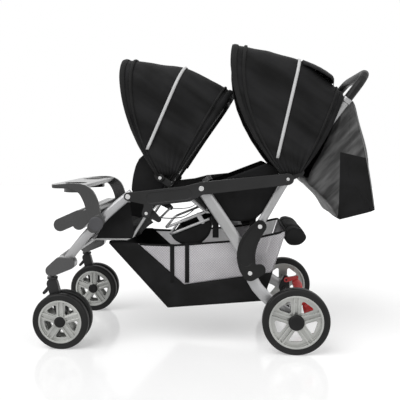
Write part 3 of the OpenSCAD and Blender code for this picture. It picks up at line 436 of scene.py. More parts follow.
def sky_lamp(name, place, spread, strength):
    """Wide soft light from far away, on the side of place."""
    data = bpy.data.lights.new(name, "SUN")
    data.angle = radians(spread)
    data.energy = strength
    obj = place_object(name, data)
    obj.rotation_euler = (-Vector(place)).to_track_quat("-Z", "Y").to_euler()


def seen_rays(tree):
    """1 for rays that show the background: from the camera, mirrored or passed through."""
    path = tree.nodes.new("ShaderNodeLightPath")
    total = path.outputs["Is Camera Ray"]
    for other in ("Is Glossy Ray", "Is Transmission Ray"):
        larger = new_node(tree, "ShaderNodeMath", {0: total, 1: path.outputs[other]})
        larger.operation = "MAXIMUM"
        total = larger.outputs["Value"]
    return total


WORLD_LIGHT = 0.40
FLOOR_SIZE = 14.0
FLOOR_GLOW = 0.34
FLOOR_TONES = grey(0.80), grey(0.82)
FLOOR_DRIFT = 3
FLOOR_ROUGH = 0.12
FLOOR_SPECULAR = 0.2


def surroundings():
    """White studio: bright background, pale glossy floor, and two lamps."""
    scene = bpy.context.scene
    scene.view_settings.view_transform = "Standard"
    world = bpy.data.worlds.new("studio")
    world.use_nodes = True
    scene.world = world
    tree = world.node_tree
    strength = new_node(tree, "ShaderNodeMapRange", {
        "Value": seen_rays(tree), "To Min": WORLD_LIGHT, "To Max": 1.0})
    wire(tree.nodes["Background"], {"Color": (1, 1, 1, 1), "Strength": strength.outputs["Result"]})

    half = FLOOR_SIZE / 2
    material, tree, shader = node_tree("floor_paper")
    mottle(tree, shader, *FLOOR_TONES, FLOOR_DRIFT)
    wire(shader, {"Roughness": FLOOR_ROUGH, "Specular IOR Level": FLOOR_SPECULAR})
    gain = new_node(tree, "ShaderNodeMath", {0: seen_rays(tree), 1: FLOOR_GLOW})
    gain.operation = "MULTIPLY"
    glow = new_node(tree, "ShaderNodeEmission", {"Strength": gain.outputs["Value"]})
    total = new_node(tree, "ShaderNodeAddShader", {0: shader.outputs["BSDF"], 1: glow.outputs["Emission"]})
    wire(tree.nodes["Material Output"], {"Surface": total.outputs["Shader"]})
    floor = add("floor", [(-half, -half, 0), (half, -half, 0), (half, half, 0), (-half, half, 0)],
                [(0, 1, 2, 3)], material)
    sky_lamp("key", place=(-0.9, -1.0, 1.6), spread=50, strength=1.7)
    sky_lamp("fill", place=(1.2, -0.9, 0.7), spread=60, strength=0.5)


camera()
surroundings()


# Hoods

class Hood:
    """One hood: a fan of bows in the side view, drawn out to both sides with rounded corners."""

    CORNER = 0.080
    UP, ROUND, OVER = 18, 10, 8
    SIDE_SHARE = 0.75
    PROBE = 0.001

    def __init__(self, pivot, points, half, rear_corner):
        self.pivot, self.half, self.rear_corner = pivot, half, rear_corner
        self.h = [Vector((x / 1000, 0, z / 1000)) for x, z in points]
        self.columns = 2 * (self.UP + self.ROUND + self.OVER) - 1

    def foot(self, u):
        """Foot of the bow at share u from the front, from the pivot."""
        return mix(self.h[0], self.h[5], u)

    def tip(self, u):
        return bez(self.h[2], 2 * self.h[3] - (self.h[2] + self.h[4]) / 2, self.h[4], u)

    def rib(self, u, s):
        """Point of that bow at share s of its height, in the middle of the hood."""
        a, c = self.foot(u), self.tip(u)
        bulge = mix(self.h[1] - (self.h[0] + self.h[2]) / 2, self.h[6] - (self.h[4] + self.h[5]) / 2, u)
        return self.pivot + bez(a, (a + c) / 2 + bulge, c, s)

    def corner(self, u):
        """Radius of the rounded corner between side and top."""
        return self.CORNER * mix(1, self.rear_corner, u)

    def length(self, u):
        return (self.tip(u) - self.foot(u)).length

    def spread(self, k):
        """Column k as (share of the straight side, angle round the corner, share of the top, side)."""
        middle = self.columns // 2
        hand = -1 if k <= middle else 1
        k = k if k <= middle else self.columns - 1 - k
        up = min(k / self.UP, 1)
        turn = min(max(k - self.UP, 0) / self.ROUND, 1)
        over = max(k - self.UP - self.ROUND, 0) / (self.OVER - 1)
        return up, turn * pi / 2, over, hand

    def raw(self, u, k, lift):
        """Point of a hood that is larger by lift all round."""
        up, angle, over, hand = self.spread(k)
        top = 1 + lift / self.length(u)
        turn = top - (self.corner(u) + lift) / self.length(u)
        s = turn * up if angle == 0 else turn + (top - turn) * sin(angle)
        p = self.rib(u, s)
        reach = (self.half + lift) - (self.corner(u) + lift) * (1 - cos(angle))
        p.y = hand * reach * (1 - over)
        return p

    def at(self, u, k, lift=0.0):
        """Point of the hood's outside, lifted off it."""
        p = self.raw(u, k, 0)
        return p + (self.raw(u, k, self.PROBE) - p) * (lift / self.PROBE)

    def share(self, k):
        """Height of column k up the side, 0 at the foot and 1 over the top."""
        up, angle, _, _ = self.spread(k)
        return up * self.SIDE_SHARE + angle / (pi / 2) * (1 - self.SIDE_SHARE)


# Front foot, front control, front tip, middle tip, rear tip, rear foot, rear control, from the pivot
FRONT_HOOD = Hood(PIVOT["front_canopy"], (
    (-8.0, 6.1), (-145.2, 200.2), (-121.9, 382), (77.9, 356), (232, 273.6), (57.2, 15.8), (141.8, 146.6)),
    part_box("front_canopy_fabric")[1].y, 1)
REAR_HOOD = Hood(PIVOT["rear_canopy"], (
    (-10.2, 3.8), (-206.1, 228.1), (-172.1, 424), (35.2, 371.8), (167.5, 258.8), (42, 20.1), (129.4, 126.3)),
    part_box("rear_canopy_fabric")[1].y, 0.35)
HOOD_ROWS = 48
HOOD_CLOTH = 0.0014
BAND_CLOTH = 0.0026
MIDDLE_BOW = 0.5
HOOD_INSET = 0.001
HOOD_SLACK = 0.005
GATHER_DEPTH, GATHER_COUNT, GATHER_TOP = 0.0018, 16, 0.35
CREASE_DEPTH, CREASE_SCALE = 0.0034, 14
FINE_DEPTH, FINE_SCALE = 0.0008, 45
REAR_FOLD_DEPTH, REAR_FOLD_RATE, REAR_FOLD_TOP = 0.0055, 62, 0.8
STRIP_ROWS = 6
LINE_SEARCH_STEPS = 20


def hood_drop(hood, u, k, seed):
    """How far the cloth lies off its bows: slack between bows, gathers at the foot, creases."""
    panel = (u / MIDDLE_BOW) if u < MIDDLE_BOW else (u - MIDDLE_BOW) / (1 - MIDDLE_BOW)
    height = hood.share(k)
    slack = HOOD_SLACK * sin(pi * panel) ** 2 * min(height * 3, 1)
    gather = GATHER_DEPTH * sin(u * GATHER_COUNT * pi) * max(0, 1 - height / GATHER_TOP)
    p = hood.at(u, k)
    fold = CREASE_DEPTH * crease(Vector((p.x + p.z * 0.6, p.y * 0.4, p.z - p.x * 0.35)), CREASE_SCALE, seed)
    if u > MIDDLE_BOW and height < REAR_FOLD_TOP:
        wave = sin((p.x + p.z) * REAR_FOLD_RATE + 2.5 * crease(p, 7, seed))
        fold += REAR_FOLD_DEPTH * wave * sin(pi * height / REAR_FOLD_TOP) * sin(pi * panel)
    fine = FINE_DEPTH * crease(p, FINE_SCALE, seed + 5)
    return -HOOD_INSET - slack + gather + (fold + fine) * sin(pi * panel)


def hood_follow(piece, hood):
    """Works out the bow's fan, which nothing uses, and bakes the piece's placement into its mesh."""
    front = hood.tip(0).normalized()
    rear = hood.tip(1).normalized()
    across_fan = (front - rear).normalized()
    reach = across_fan * hood.tip(0.5).length * (front - rear).length / 2
    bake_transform(piece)


def hood_strip(name, hood, u_from, u_to, lift, crown, thickness, material, columns=None):
    """Band on the hood between two lines; u_from and u_to take the column."""
    columns = columns or range(hood.columns)
    rows = [[hood.at(mix(u_from(k), u_to(k), t), k, lift + crown * (1 - (2 * t - 1) ** 2)) for k in columns]
            for t in shares(STRIP_ROWS)]
    return grid(name, rows, material, thickness)


def hood_line(hood, k, a, b, shift=0.0):
    """Where column k crosses the straight side view line from a to b, moved back by shift."""
    ahead = (b - a).normalized()
    low, high = 0.0, 1.0
    for _ in range(LINE_SEARCH_STEPS):
        middle = (low + high) / 2
        p = hood.at(middle, k) - hood.pivot - a
        low, high = (middle, high) if ahead.z * p.x - ahead.x * p.z < shift else (low, middle)
    return low


PIPING_HALF, PIPING_LIFT, PIPING_CROWN, PIPING_CLOTH = 0.0045, 0.0012, 0.0024, 0.0016
BAND_LIFT = 0.0008


def make_hood(name, hood, node, piping_line, seed):
    """Skin of a hood with its bindings, seams and piping."""
    rows = [[hood.at(u, k, hood_drop(hood, u, k, seed)) for k in range(hood.columns)]
            for u in shares(HOOD_ROWS)]
    skin = grid(name, rows, HOOD_PAINTED_SHEEN, HOOD_CLOTH)
    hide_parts(node)
    a, b = (Vector((x / 1000, 0, z / 1000)) for x, z in piping_line)
    shown = [k for k in range(hood.columns) if hood.rib(hood_line(hood, k, a, b), hood.share(k)).z
             > hood.pivot.z + a.z]

    def band(part, start, end, crown, material):
        return hood_strip(f"{name}_{part}", hood, lambda k: start, lambda k: end, BAND_LIFT, crown,
                          BAND_CLOTH, material)

    pieces = [
        skin,
        band("front_binding", -0.004, 0.035, 0.0022, TRIM),
        band("front_seam", 0.075, 0.095, 0.0016, TRIM),
        band("rear_binding", 0.955, 1.004, 0.0030, BLACK),
        # Raised bead in the lighter binding cloth; its light line is partly a painted highlight.
        band("rear_highlight_bead", 0.905, 0.92, 0.0016, TRIM),
        hood_strip(name + "_piping", hood, lambda k: hood_line(hood, k, a, b, -PIPING_HALF),
                   lambda k: hood_line(hood, k, a, b, PIPING_HALF), PIPING_LIFT, PIPING_CROWN,
                   PIPING_CLOTH, PIPING, shown),
    ]
    for piece in pieces:
        hood_follow(piece, hood)


FLAP_ROWS = 24
FLAP_FROM, FLAP_TO = 0.53, 0.865
FLAP_FOOT = 0.86
FLAP_LIFT, FLAP_THIN, FLAP_THICK = 0.002, 0.003, 0.016
FLAP_CREASE = 0.0016
FLAP_CLOTH = 0.002
ROLL_PART = 0.14


def rolled_flap(hood):
    """Sun flap folded back over the top of the rear hood, thickest at its rolled end."""
    columns = [k for k in range(hood.columns) if hood.share(k) > FLAP_FOOT]
    rows = []
    for t in shares(FLAP_ROWS):
        roll = sqrt(max(0, 1 - (max(0, t - (1 - ROLL_PART)) / ROLL_PART) ** 2))
        rows.append([hood.at(mix(FLAP_FROM, FLAP_TO, t), k, FLAP_LIFT + mix(FLAP_THIN, FLAP_THICK, t) * roll
                             + FLAP_CREASE * roll * crease(Vector((t * 3, k / 9, 0)), 2.4, 15))
                     for k in columns])
    flap = grid("rear_hood_flap", rows, HOOD_PAINTED_SHEEN, FLAP_CLOTH)
    hood_follow(flap, hood)


make_hood("front_hood", FRONT_HOOD, "front_canopy_fabric",
          ((-44, 83), (78, 356)), 1)
make_hood("rear_hood", REAR_HOOD, "rear_canopy_fabric", ((-34, 59), (35, 372)), 2)
rolled_flap(REAR_HOOD)


# Boot: the pouch behind the rear seat

BOOT_OUTLINE = side_line(
    (140, 780), (178, 790), (203, 702), (226, 609), (243, 520), (253, 458), (248, 446), (205, 433),
    (157, 419), (138, 421), (110, 464), (68, 508), (36, 552), (90, 664))
BOOT_EDGE = 0.016
BOOT_CLOTH = 0.0016
BOOT_STEPS = 6
BOOT_BAND = 13
BOOT_SEAM = (side(133, 634), side(215, 615))
BOOT_PANEL = side(136, 500)
BOOT_RINGS = 15
BOOT_CORE, BOOT_FACE = 0.06, 0.94
PLEAT_WIDTH, PLEAT_DEPTH = 0.010, 0.006
WRINKLE_DEPTH, WRINKLE_RATE = 0.0036, 150
PUCKER_DEPTH = 0.002
PILLOW_DEPTH = 0.004
SAG_DEPTH = 0.003
UPPER_Z, UPPER_FADE = 0.60, 0.04
BACK_TOP_Z, BACK_ROOM, BACK_SPAN = 0.655, 0.011, 0.06
SEAM_RADIUS = 0.0012
# Size and place of the cords that paint the highlight along the boot's rear edges.
EDGE_HIGHLIGHT_RADIUS = 0.002
EDGE_HIGHLIGHT_SHIFT = Vector((0.001, 0, 0.001))
EDGE_HIGHLIGHT_AHEAD, EDGE_HIGHLIGHT_IN = 0.0058, 0.004


def boot():
    """Cloth shell behind the rear seat, open in front so that the reclined back swings into it."""
    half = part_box("rear_boot")[1].y - 0.001
    outline = spline(BOOT_OUTLINE, BOOT_STEPS, closed=True)
    count = len(outline)
    centre = sum(outline, Vector()) / count
    inward = []
    for i in range(count):
        ahead = (outline[(i + 1) % count] - outline[i - 1]).normalized()
        square = Vector((ahead.z, 0, -ahead.x))
        inward.append(square if square.dot(centre - outline[i]) > 0 else -square)

    def wrinkle(p):
        upper = min(max((p.z - UPPER_Z) / UPPER_FADE, 0), 1)
        drawn = WRINKLE_DEPTH * sin((p.x * 0.8 - p.z * 0.6) * WRINKLE_RATE + 3 * crease(p, 10, 3)) * upper
        pleat = PLEAT_DEPTH * exp(-((p.x - BOOT_PANEL.x + PLEAT_WIDTH) / PLEAT_WIDTH) ** 2) * (1 - upper)
        return drawn + pleat + PUCKER_DEPTH * crease(p, 22, 4)

    def ring(y, inset, shrink, hand):
        points = []
        for p, square in zip(outline, inward):
            q = mix(centre, p + square * inset, shrink)
            pillow = PILLOW_DEPTH * (1 - shrink ** 2)
            q.y = y + hand * (pillow + wrinkle(q)) * (shrink < 0.999)
            points.append(q)
        return points

    sizes = [mix(BOOT_CORE, BOOT_FACE, t) for t in shares(BOOT_RINGS)]
    rings = [ring(-half, BOOT_EDGE, s, -1) for s in sizes]
    for i in range(BOOT_BAND):
        t = 2 * i / (BOOT_BAND - 1) - 1
        y = half * sin(t * pi / 2) if abs(t) < 1 else half * t
        corner = max(0, abs(y) - (half - BOOT_EDGE))
        inset = BOOT_EDGE - sqrt(max(BOOT_EDGE ** 2 - corner ** 2, 0))
        loop = []
        for p, square in zip(outline, inward):
            q = p + square * (inset + SAG_DEPTH * crease(Vector((p.x, y, p.z)), 12, 6) * (abs(t) < 0.99))
            room = BACK_ROOM * exp(-((p.z - BACK_TOP_Z) / BACK_SPAN) ** 2) * (1 - (y / half) ** 6)
            q += REARWARD * room * max(0, -square.x)
            q.y = y
            loop.append(q)
        rings.append(loop)
    rings += [ring(half, BOOT_EDGE, s, 1) for s in reversed(sizes)]
    band = range(len(sizes) + 1, len(sizes) + BOOT_BAND - 2)
    front = range(count - 2 * BOOT_STEPS, count)
    faces = [face for n, face in enumerate(skin_faces(len(rings), count))
             if n // count not in band or n % count not in front]
    piece = add("boot", [p for loop in rings for p in loop], faces, BLACK)
    piece.data.materials.append(SHEER_PAINTED_HIGHLIGHTS)
    seam = boot_seam(piece)
    thicken(piece, BOOT_CLOTH)
    bake(piece)
    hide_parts("rear_boot")
    # Light grey cords along both rear edges: a painted highlight.
    edge = spline([p + EDGE_HIGHLIGHT_SHIFT for p in BOOT_OUTLINE[1:6]], 8)
    pieces = [piece, seam]
    for hand, name in SIDES:
        path = [p + Vector((-EDGE_HIGHLIGHT_AHEAD, hand * (half - EDGE_HIGHLIGHT_IN), 0)) for p in edge]
        pieces.append(tube("boot_edge_highlight_" + name, path, EDGE_HIGHLIGHT_RADIUS, EDGE_HIGHLIGHT_RADIUS, ACROSS, EDGE_HIGHLIGHT_CORD, 8))
    for part in pieces:
        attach(part, "handle_frame")
        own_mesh(part)


def boot_seam(boot_piece):
    """Cuts the pouch along its seam, leaves a black panel below and behind it, and sews a welt round it."""
    start, end = BOOT_SEAM
    along_seam = (end - start).normalized()
    up = Vector((-along_seam.z, 0, along_seam.x))
    shape = bmesh.new()
    shape.from_mesh(boot_piece.data)
    cuts = [bmesh.ops.bisect_plane(shape, geom=shape.verts[:] + shape.edges[:] + shape.faces[:],
                                   plane_co=place, plane_no=square)
            for place, square in ((start, up), (BOOT_PANEL, REARWARD))]
    for face in shape.faces:
        middle = face.calc_center_median()
        face.material_index = 1 if (middle - start).dot(up) > 0 or middle.x < BOOT_PANEL.x else 0
    loop = [v.co.copy() for v in cuts[0]["geom_cut"] if isinstance(v, bmesh.types.BMVert)]
    shape.to_mesh(boot_piece.data)
    shape.free()
    middle = sum(loop, Vector()) / len(loop)
    loop = [p for p in loop if p.x > BOOT_PANEL.x]
    loop.sort(key=lambda p: atan2(p.y, (p - middle).dot(along_seam)))
    return tube("boot_seam", loop, SEAM_RADIUS, SEAM_RADIUS, up, TRIM, 8)


boot()


# Basket

BASKET_OUT = side_line((-606, 336), (-412, 122), (-100, 150), (-71, 242))
BASKET_IN = side_line((-510, 336), (-358, 200), (-74, 244), (-72, 245))
REAR_NET = (side(-71, 241), side(-31, 371))
RIM_LINE = side_line((-600, 338), (-499, 330), (-404, 327), (-335, 333), (-221, 342), (-118, 357), (-30, 378))
SHELL_STEPS = 36
SHELL_CLOTH = 0.0018
SHELL_COLUMNS = 14
SHELL_BORDER = 0.012
SHELL_SAG, SHELL_RISE = 0.006, 0.004
NET_PITCH = 0.006
NET_YARN = 0.0004
NET_PROUD = 0.0005
NET_INSET = 0.0015
NET_CLOTH = 0.0006
YARN_STEPS, YARN_SIDES = 5, 3
RIM_RADIUS = 0.004
RIM_CORNER = 0.022
STRAP_XS = (-397, -348)
STRAP_FOOT_Z = 0.206
STRAP_WIDTH, STRAP_CLOTH = 0.014, 0.0022


def along(points, t):
    """Point at share t of a line's corners, each stretch the same share."""
    step = t * (len(points) - 1)
    i = min(int(step), len(points) - 2)
    return mix(points[i], points[i + 1], step - i)


def rim_height(x):
    a, b = next((a, b) for a, b in zip(RIM_LINE, RIM_LINE[1:]) if a.x <= x <= b.x)
    return mix(a.z, b.z, (x - a.x) / (b.x - a.x))


def basket_shell(half):
    """Black lower cloth: a floor that sags between upright borders."""
    rows = []
    for t in shares(SHELL_STEPS):
        low, high = along(BASKET_OUT, t), along(BASKET_IN, t)
        row = []
        for k in range(9):
            p = mix(high, low, min(k / 6, 1))
            p.y = -half + 0.004 * (k > 6) * (k - 6)
            row.append(p)
        for j in shares(SHELL_COLUMNS):
            y = mix(-half + SHELL_BORDER, half - SHELL_BORDER, j)
            p = low.copy()
            sag = SHELL_SAG * (1 - (y / half) ** 2)
            p.z += SHELL_RISE - sag + 0.0015 * crease(Vector((p.x, y, 0)), 18, 8)
            p.y = y
            row.append(p)
        row += [Vector((p.x, -p.y, p.z)) for p in reversed(row[:9])]
        rows.append(row)
    piece = grid("basket_cloth", rows, BLACK, SHELL_CLOTH)
    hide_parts("basket")
    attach(piece, "chassis")


def net_panel(name, outline, place, across):
    """Fine see-through net within an outline, with crossed yarns on its face; place sets its points."""
    rows = [[place(p, 0) for p in row] for row in panel_rows(outline, 72, 20)]
    sheet = grid("basket_net_" + name, rows, GAUZE, NET_CLOTH)
    edges = list(zip(outline, outline[1:] + outline[:1]))
    points, faces = [], []
    for slope in (1, -1):
        levels = [p.z - slope * p.x for p in outline]
        level = min(levels) + NET_PITCH / 2
        while level < max(levels):
            cuts = []
            for a, b in edges:
                da, db = a.z - slope * a.x - level, b.z - slope * b.x - level
                if (da < 0) != (db < 0):
                    cuts.append(mix(a, b, da / (da - db)))
            cuts.sort(key=lambda p: p.x)
            for a, b in zip(cuts[::2], cuts[1::2]):
                path = [place(mix(a, b, t), NET_PROUD) for t in shares(YARN_STEPS)]
                rings = rings_along(path, NET_YARN, NET_YARN, across, YARN_SIDES)
                base = len(points)
                points += [p for ring in rings for p in ring]
                faces += [tuple(base + v for v in f) for f in skin_faces(len(rings), YARN_SIDES)]
            level += NET_PITCH * sqrt(2)
    yarns = add("basket_yarns_" + name, points, faces, NET)
    for piece in (sheet, yarns):
        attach(piece, "chassis")


def basket_nets(half):
    """Nets at both sides, between the black border and the rim, and across the back."""
    outline = BASKET_IN[:3] + list(reversed(RIM_LINE[1:]))
    for hand, name in SIDES:
        def on_side(p, proud):
            slack = 0.0012 * crease(Vector((p.x, 0, p.z)), 12, 9)
            return Vector((p.x, hand * (half - NET_INSET + proud + slack), p.z))

        net_panel(name, outline, on_side, ACROSS)
    low, high = REAR_NET
    tall = (high - low).length
    up = (high - low) / tall
    back = Vector((up.z, 0, -up.x))
    reach = half - NET_INSET

    def on_back(p, proud):
        slack = 0.005 * sin(pi * p.z / tall) * (1 - (p.x / reach) ** 2)
        return low + up * p.z + back * (proud - slack) + ACROSS * p.x

    corners = (-reach, 0, 0), (reach, 0, 0), (reach, 0, tall), (-reach, 0, tall)
    net_panel("rear", [Vector(c) for c in corners], on_back, REARWARD)


def strap(name, path, width, thickness, across):
    return tube(name, path, width / 2, thickness / 2, across, WEB, 12)


ROLL_LINE = side_line(
    (-23, 381), (-13, 388), (3, 390), (20, 385), (33, 375), (40, 360), (36, 347), (27, 338), (11, 331),
    (-4, 330), (-19, 334), (-32, 349), (-31, 364))
ROLL_STEPS = 44
ROLL_END = 0.014
TIE_Y, TIE_PULL, TIE_SPAN = 0.095, 0.1, 0.008
TIE_SIZE, TIE_HALF, TIE_CLOTH = 0.94, 0.007, 0.0012


def basket_roll(half):
    """Rear flap of the basket, rolled up and tied across the back."""
    outline = spline(ROLL_LINE, 4, closed=True)
    centre = sum(outline, Vector()) / len(outline)
    rings = []
    for t in shares(ROLL_STEPS):
        y = half * (2 * t - 1)
        shrink = sqrt(max(0.02, 1 - max(0, (abs(y) - half + ROLL_END) / ROLL_END) ** 2))
        pull = TIE_PULL * exp(-((abs(y) - TIE_Y) / TIE_SPAN) ** 2)
        ring = []
        for p in outline:
            q = mix(centre, p, min(1, 0.55 + 0.45 * shrink) * (1 - pull))
            fold = 0.0022 * crease(Vector((q.x * 3, y * 0.7, q.z * 3)), 16, 17) - 0.0016
            q = q + (p - centre).normalized() * fold
            q.y = y
            ring.append(q)
        rings.append(ring)
    roll = loft("basket_roll", rings, BLACK)
    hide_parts("basket")
    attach(roll, "chassis")
    for hand, name in SIDES:
        loop = [mix(centre, p, TIE_SIZE) + ACROSS * hand * TIE_Y for p in outline]
        tie = tube("basket_roll_tie_" + name, loop + loop[:1], TIE_HALF, TIE_CLOTH, ACROSS, WEB, 8)
        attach(tie, "chassis")


def basket():
    """Cloth shell, corded rim, rolled flap, nets and the straps on them."""
    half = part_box("basket")[1].y
    basket_shell(half)
    reach = ACROSS * (half - RIM_RADIUS)
    loop = rounded([p - reach for p in RIM_LINE] + [p + reach for p in reversed(RIM_LINE)], RIM_CORNER, 5)
    rim = tube("basket_rim_cord", loop + loop[:1], RIM_RADIUS, RIM_RADIUS, Vector((0.01, 0.02, 1)), WEB, 10)
    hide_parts("basket_rim")
    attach(rim, "chassis")
    basket_roll(half)
    basket_nets(half)
    for hand, name in SIDES:
        for x in STRAP_XS:
            foot = side(x, 0)
            top = rim_height(foot.x) + 0.006
            line = [Vector((foot.x, hand * (half + 0.001), mix(STRAP_FOOT_Z, top, t))) for t in shares(6)]
            web = strap(f"net_strap_{name}_{-x}", line, STRAP_WIDTH, STRAP_CLOTH, REARWARD)
            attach(web, "chassis")


basket()


def hanging_straps():
    """Webbing from the rear seat frame down to the basket's rim."""
    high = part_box("basket_straps")[1]
    parts = []
    corners = NODES["basket_straps"].data.vertices
    xs = sorted({round(v.co.x, 4) for v in corners})
    width = xs[1] - xs[0]
    for x in (xs[0], xs[2]):
        foot = min(v.co.z for v in corners if abs(v.co.x - x) < 0.001)
        for hand in (-1, 1):
            y = hand * (high.y - 0.001)
            line = [Vector((x + width / 2, y + hand * 0.0008 * sin(pi * t), mix(foot, high.z, t)))
                    for t in shares(8)]
            parts.append(strap("web", line, width, 0.002, REARWARD))
    webs = join("basket_hanging_straps", parts)
    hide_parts("basket_straps")
    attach(webs, "chassis")


hanging_straps()

SEAT_STRAP = side_line(
    (-473, 434), (-452, 420), (-426, 416), (-394, 416), (-362, 421), (-336, 437), (-314, 459))
SEAT_STRAP_Y = 0.146
SEAT_STRAP_WIDTH, SEAT_STRAP_CLOTH = 0.015, 0.0028


def seat_straps():
    """Slack webbing from the front seat's shaft to the apron under the rear seat."""
    for hand, name in SIDES:
        line = [p + ACROSS * hand * SEAT_STRAP_Y for p in spline(SEAT_STRAP, 5)]
        web = strap("seat_strap_" + name, line, SEAT_STRAP_WIDTH, SEAT_STRAP_CLOTH, ACROSS)
        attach(web, "chassis")


seat_straps()


# Cushions

PAD_VOXEL = 0.006
PAD_FRAMES = 20
PAD_PRESSURE = 4.0
PAD_SHRINK = 0.004
PAD_SWELL = 0.006
CHANNELS = (0.32, 0.65)
CHANNEL_WIDTH, CHANNEL_DEPTH = 0.006, 0.005
PAD_CREASE = 0.0008


def inflate(obj):
    """Lets cloth swell a little with air inside, no point moving further than PAD_SWELL."""
    start = [v.co.copy() for v in obj.data.vertices]
    soft = obj.modifiers.new("cloth", "CLOTH")
    soft.settings.use_pressure = True
    soft.settings.uniform_pressure_force = PAD_PRESSURE
    soft.settings.effector_weights.gravity = 0
    soft.settings.quality = 4
    soft.point_cache.frame_end = PAD_FRAMES
    scene = bpy.context.scene
    for number in range(1, PAD_FRAMES + 1):
        scene.frame_set(number)
    graph = bpy.context.evaluated_depsgraph_get()
    swollen = bpy.data.meshes.new_from_object(obj.evaluated_get(graph))
    ends = [v.co.copy() for v in swollen.vertices]
    obj.modifiers.clear()
    for vertex, a, b in zip(obj.data.vertices, start, ends):
        move = b - a
        vertex.co = a + (move.normalized() * min(move.length, PAD_SWELL) if move.length > 0 else move)
    bpy.data.meshes.remove(swollen)
    scene.frame_set(1)


def main_part(mesh):
    """Copy of the mesh with only its largest connected part."""
    shape = bmesh.new()
    shape.from_mesh(mesh)
    bmesh.ops.remove_doubles(shape, verts=shape.verts, dist=1e-5)
    left, largest = set(shape.verts), set()
    while left:
        part, edge = set(), [next(iter(left))]
        while edge:
            vertex = edge.pop()
            if vertex not in part:
                part.add(vertex)
                edge += [e.other_vert(vertex) for e in vertex.link_edges]
        left -= part
        largest = max(largest, part, key=len)
    bmesh.ops.delete(shape, geom=[v for v in shape.verts if v not in largest], context="VERTS")
    copy = bpy.data.meshes.new(mesh.name)
    shape.to_mesh(copy)
    shape.free()
    return copy


def slope_axes(angle):
    """Directions up a slope and off its front."""
    return Vector((cos(angle), 0, sin(angle))), Vector((-sin(angle), 0, cos(angle)))


def pad(name, node, body, slope):
    """Cushion swollen from its CAD solid, with channels sewn across its face."""
    line, face = slope_axes(slope)
    obj = place_object(name, main_part(NODES[node].data))
    remesh = obj.modifiers.new("remesh", "REMESH")
    remesh.mode = "VOXEL"
    remesh.voxel_size = PAD_VOXEL
    bake(obj)
    for vertex, normal in [(v, v.normal.copy()) for v in obj.data.vertices]:
        vertex.co -= normal * PAD_SHRINK
    inflate(obj)
    low = min(v.co.dot(line) for v in obj.data.vertices)
    high = max(v.co.dot(line) for v in obj.data.vertices)
    for vertex, normal in [(v, v.normal.copy()) for v in obj.data.vertices]:
        t = (vertex.co.dot(line) - low) / (high - low)
        sewn = max(exp(-((t - c) * (high - low) / CHANNEL_WIDTH) ** 2) for c in CHANNELS)
        if normal.dot(face) > 0.2:
            vertex.co -= face * CHANNEL_DEPTH * sewn
        vertex.co += normal * PAD_CREASE * crease(vertex.co, 30, 11)
    obj.modifiers.new("smooth", "SUBSURF").levels = 1
    obj.data.materials.clear()
    obj.data.materials.append(BLACK)
    bake(obj)
    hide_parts(node)
    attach(obj, body)


BACK_SLOPE = radians(54.8)
HANDLE_SLOPE = atan2(880 - 550, 215 + 29)
for part, body, slope in (("front_seat", "chassis", 0), ("rear_seat", "chassis", 0),
                          ("rear_back", "rear_back", HANDLE_SLOPE), ("front_back", "front_back", BACK_SLOPE)):
    pad(part + "_pad", part + "_cushion", body, slope)


# Cloth panels

FRONT_SIDE = side_line(
    (-647, 352), (-527, 352), (-521, 371), (-526, 410), (-534, 470), (-561, 470), (-609, 425))
WING = ((22, 1), (189, 1), (189, 16), (182, 58), (168, 92), (148, 112), (122, 119), (96, 115), (66, 104),
        (40, 91), (17, 78), (15, 60))
WING_LIFT = 0.0063
WING_CLOTH = 0.004
SIDE_CLOTH = 0.0012


def front_seat_sides():
    """Cloth sides of the front seat, and the soft wings of its back."""
    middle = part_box("front_seat_cushion")[1].y - 0.0015
    wing_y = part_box("front_back_cushion")[1].y - 0.003
    line, face = slope_axes(BACK_SLOPE)
    for hand, name in SIDES:
        rows = panel_rows(FRONT_SIDE, 28, 18)
        for row in rows:
            for p in row:
                p.y = hand * (middle - 0.0012 + 0.0014 * crease(p, 22, 18))
        panel = grid("front_seat_side_" + name, rows, BLACK, SIDE_CLOTH)
        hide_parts("front_seat_cushion")
        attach(panel, "chassis")
        flat = panel_rows([Vector((a / 1000, 0, b / 1000)) for a, b in WING], 26, 16)
        rows = [[PIVOT["front_recline"] + line * p.x + face * (p.z + WING_LIFT) for p in row] for row in flat]
        for row in rows:
            for p in row:
                p.y = hand * wing_y
        wing = grid("front_back_wing_" + name, rows, BLACK, WING_CLOTH, 1)
        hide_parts("front_back_cushion")
        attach(wing, "front_back")
        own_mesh(wing)


front_seat_sides()

SKIRT = side_line(
    (-314, 491), (-303, 518), (-217, 551), (-94, 598), (-56, 579), (-50, 507), (-84, 462), (-108, 437),
    (-130, 416), (-178, 411), (-231, 415), (-271, 433))
SKIRT_SLACK = 0.004
SLACK_Z, SLACK_END_X, SLACK_SPAN = 0.515, 0.19, 0.06
SKIRT_CLOTH = 0.001


def skirts():
    """Cloth sides of the rear seat, slack between the seat tubes and the beams."""
    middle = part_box("rear_seat_skirts")[1].y - 0.0007
    for hand, name in SIDES:
        rows = panel_rows(SKIRT, 44, 18)
        for row in rows:
            for p in row:
                slack = max(0, 1 - ((p.z - SLACK_Z) / SLACK_SPAN) ** 2)
                slack *= max(0, min(1, (SLACK_END_X - p.x) / SLACK_SPAN))
                fold = 0.5 + 0.5 * sin(p.x * 75 + p.z * 40 + 3 * crease(p, 8, 12))
                p.y = hand * (middle - SKIRT_SLACK * slack * fold)
        piece = grid("rear_seat_side_" + name, rows, BLACK, SKIRT_CLOTH)
        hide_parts("rear_seat_skirts")
        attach(piece, "chassis")


skirts()

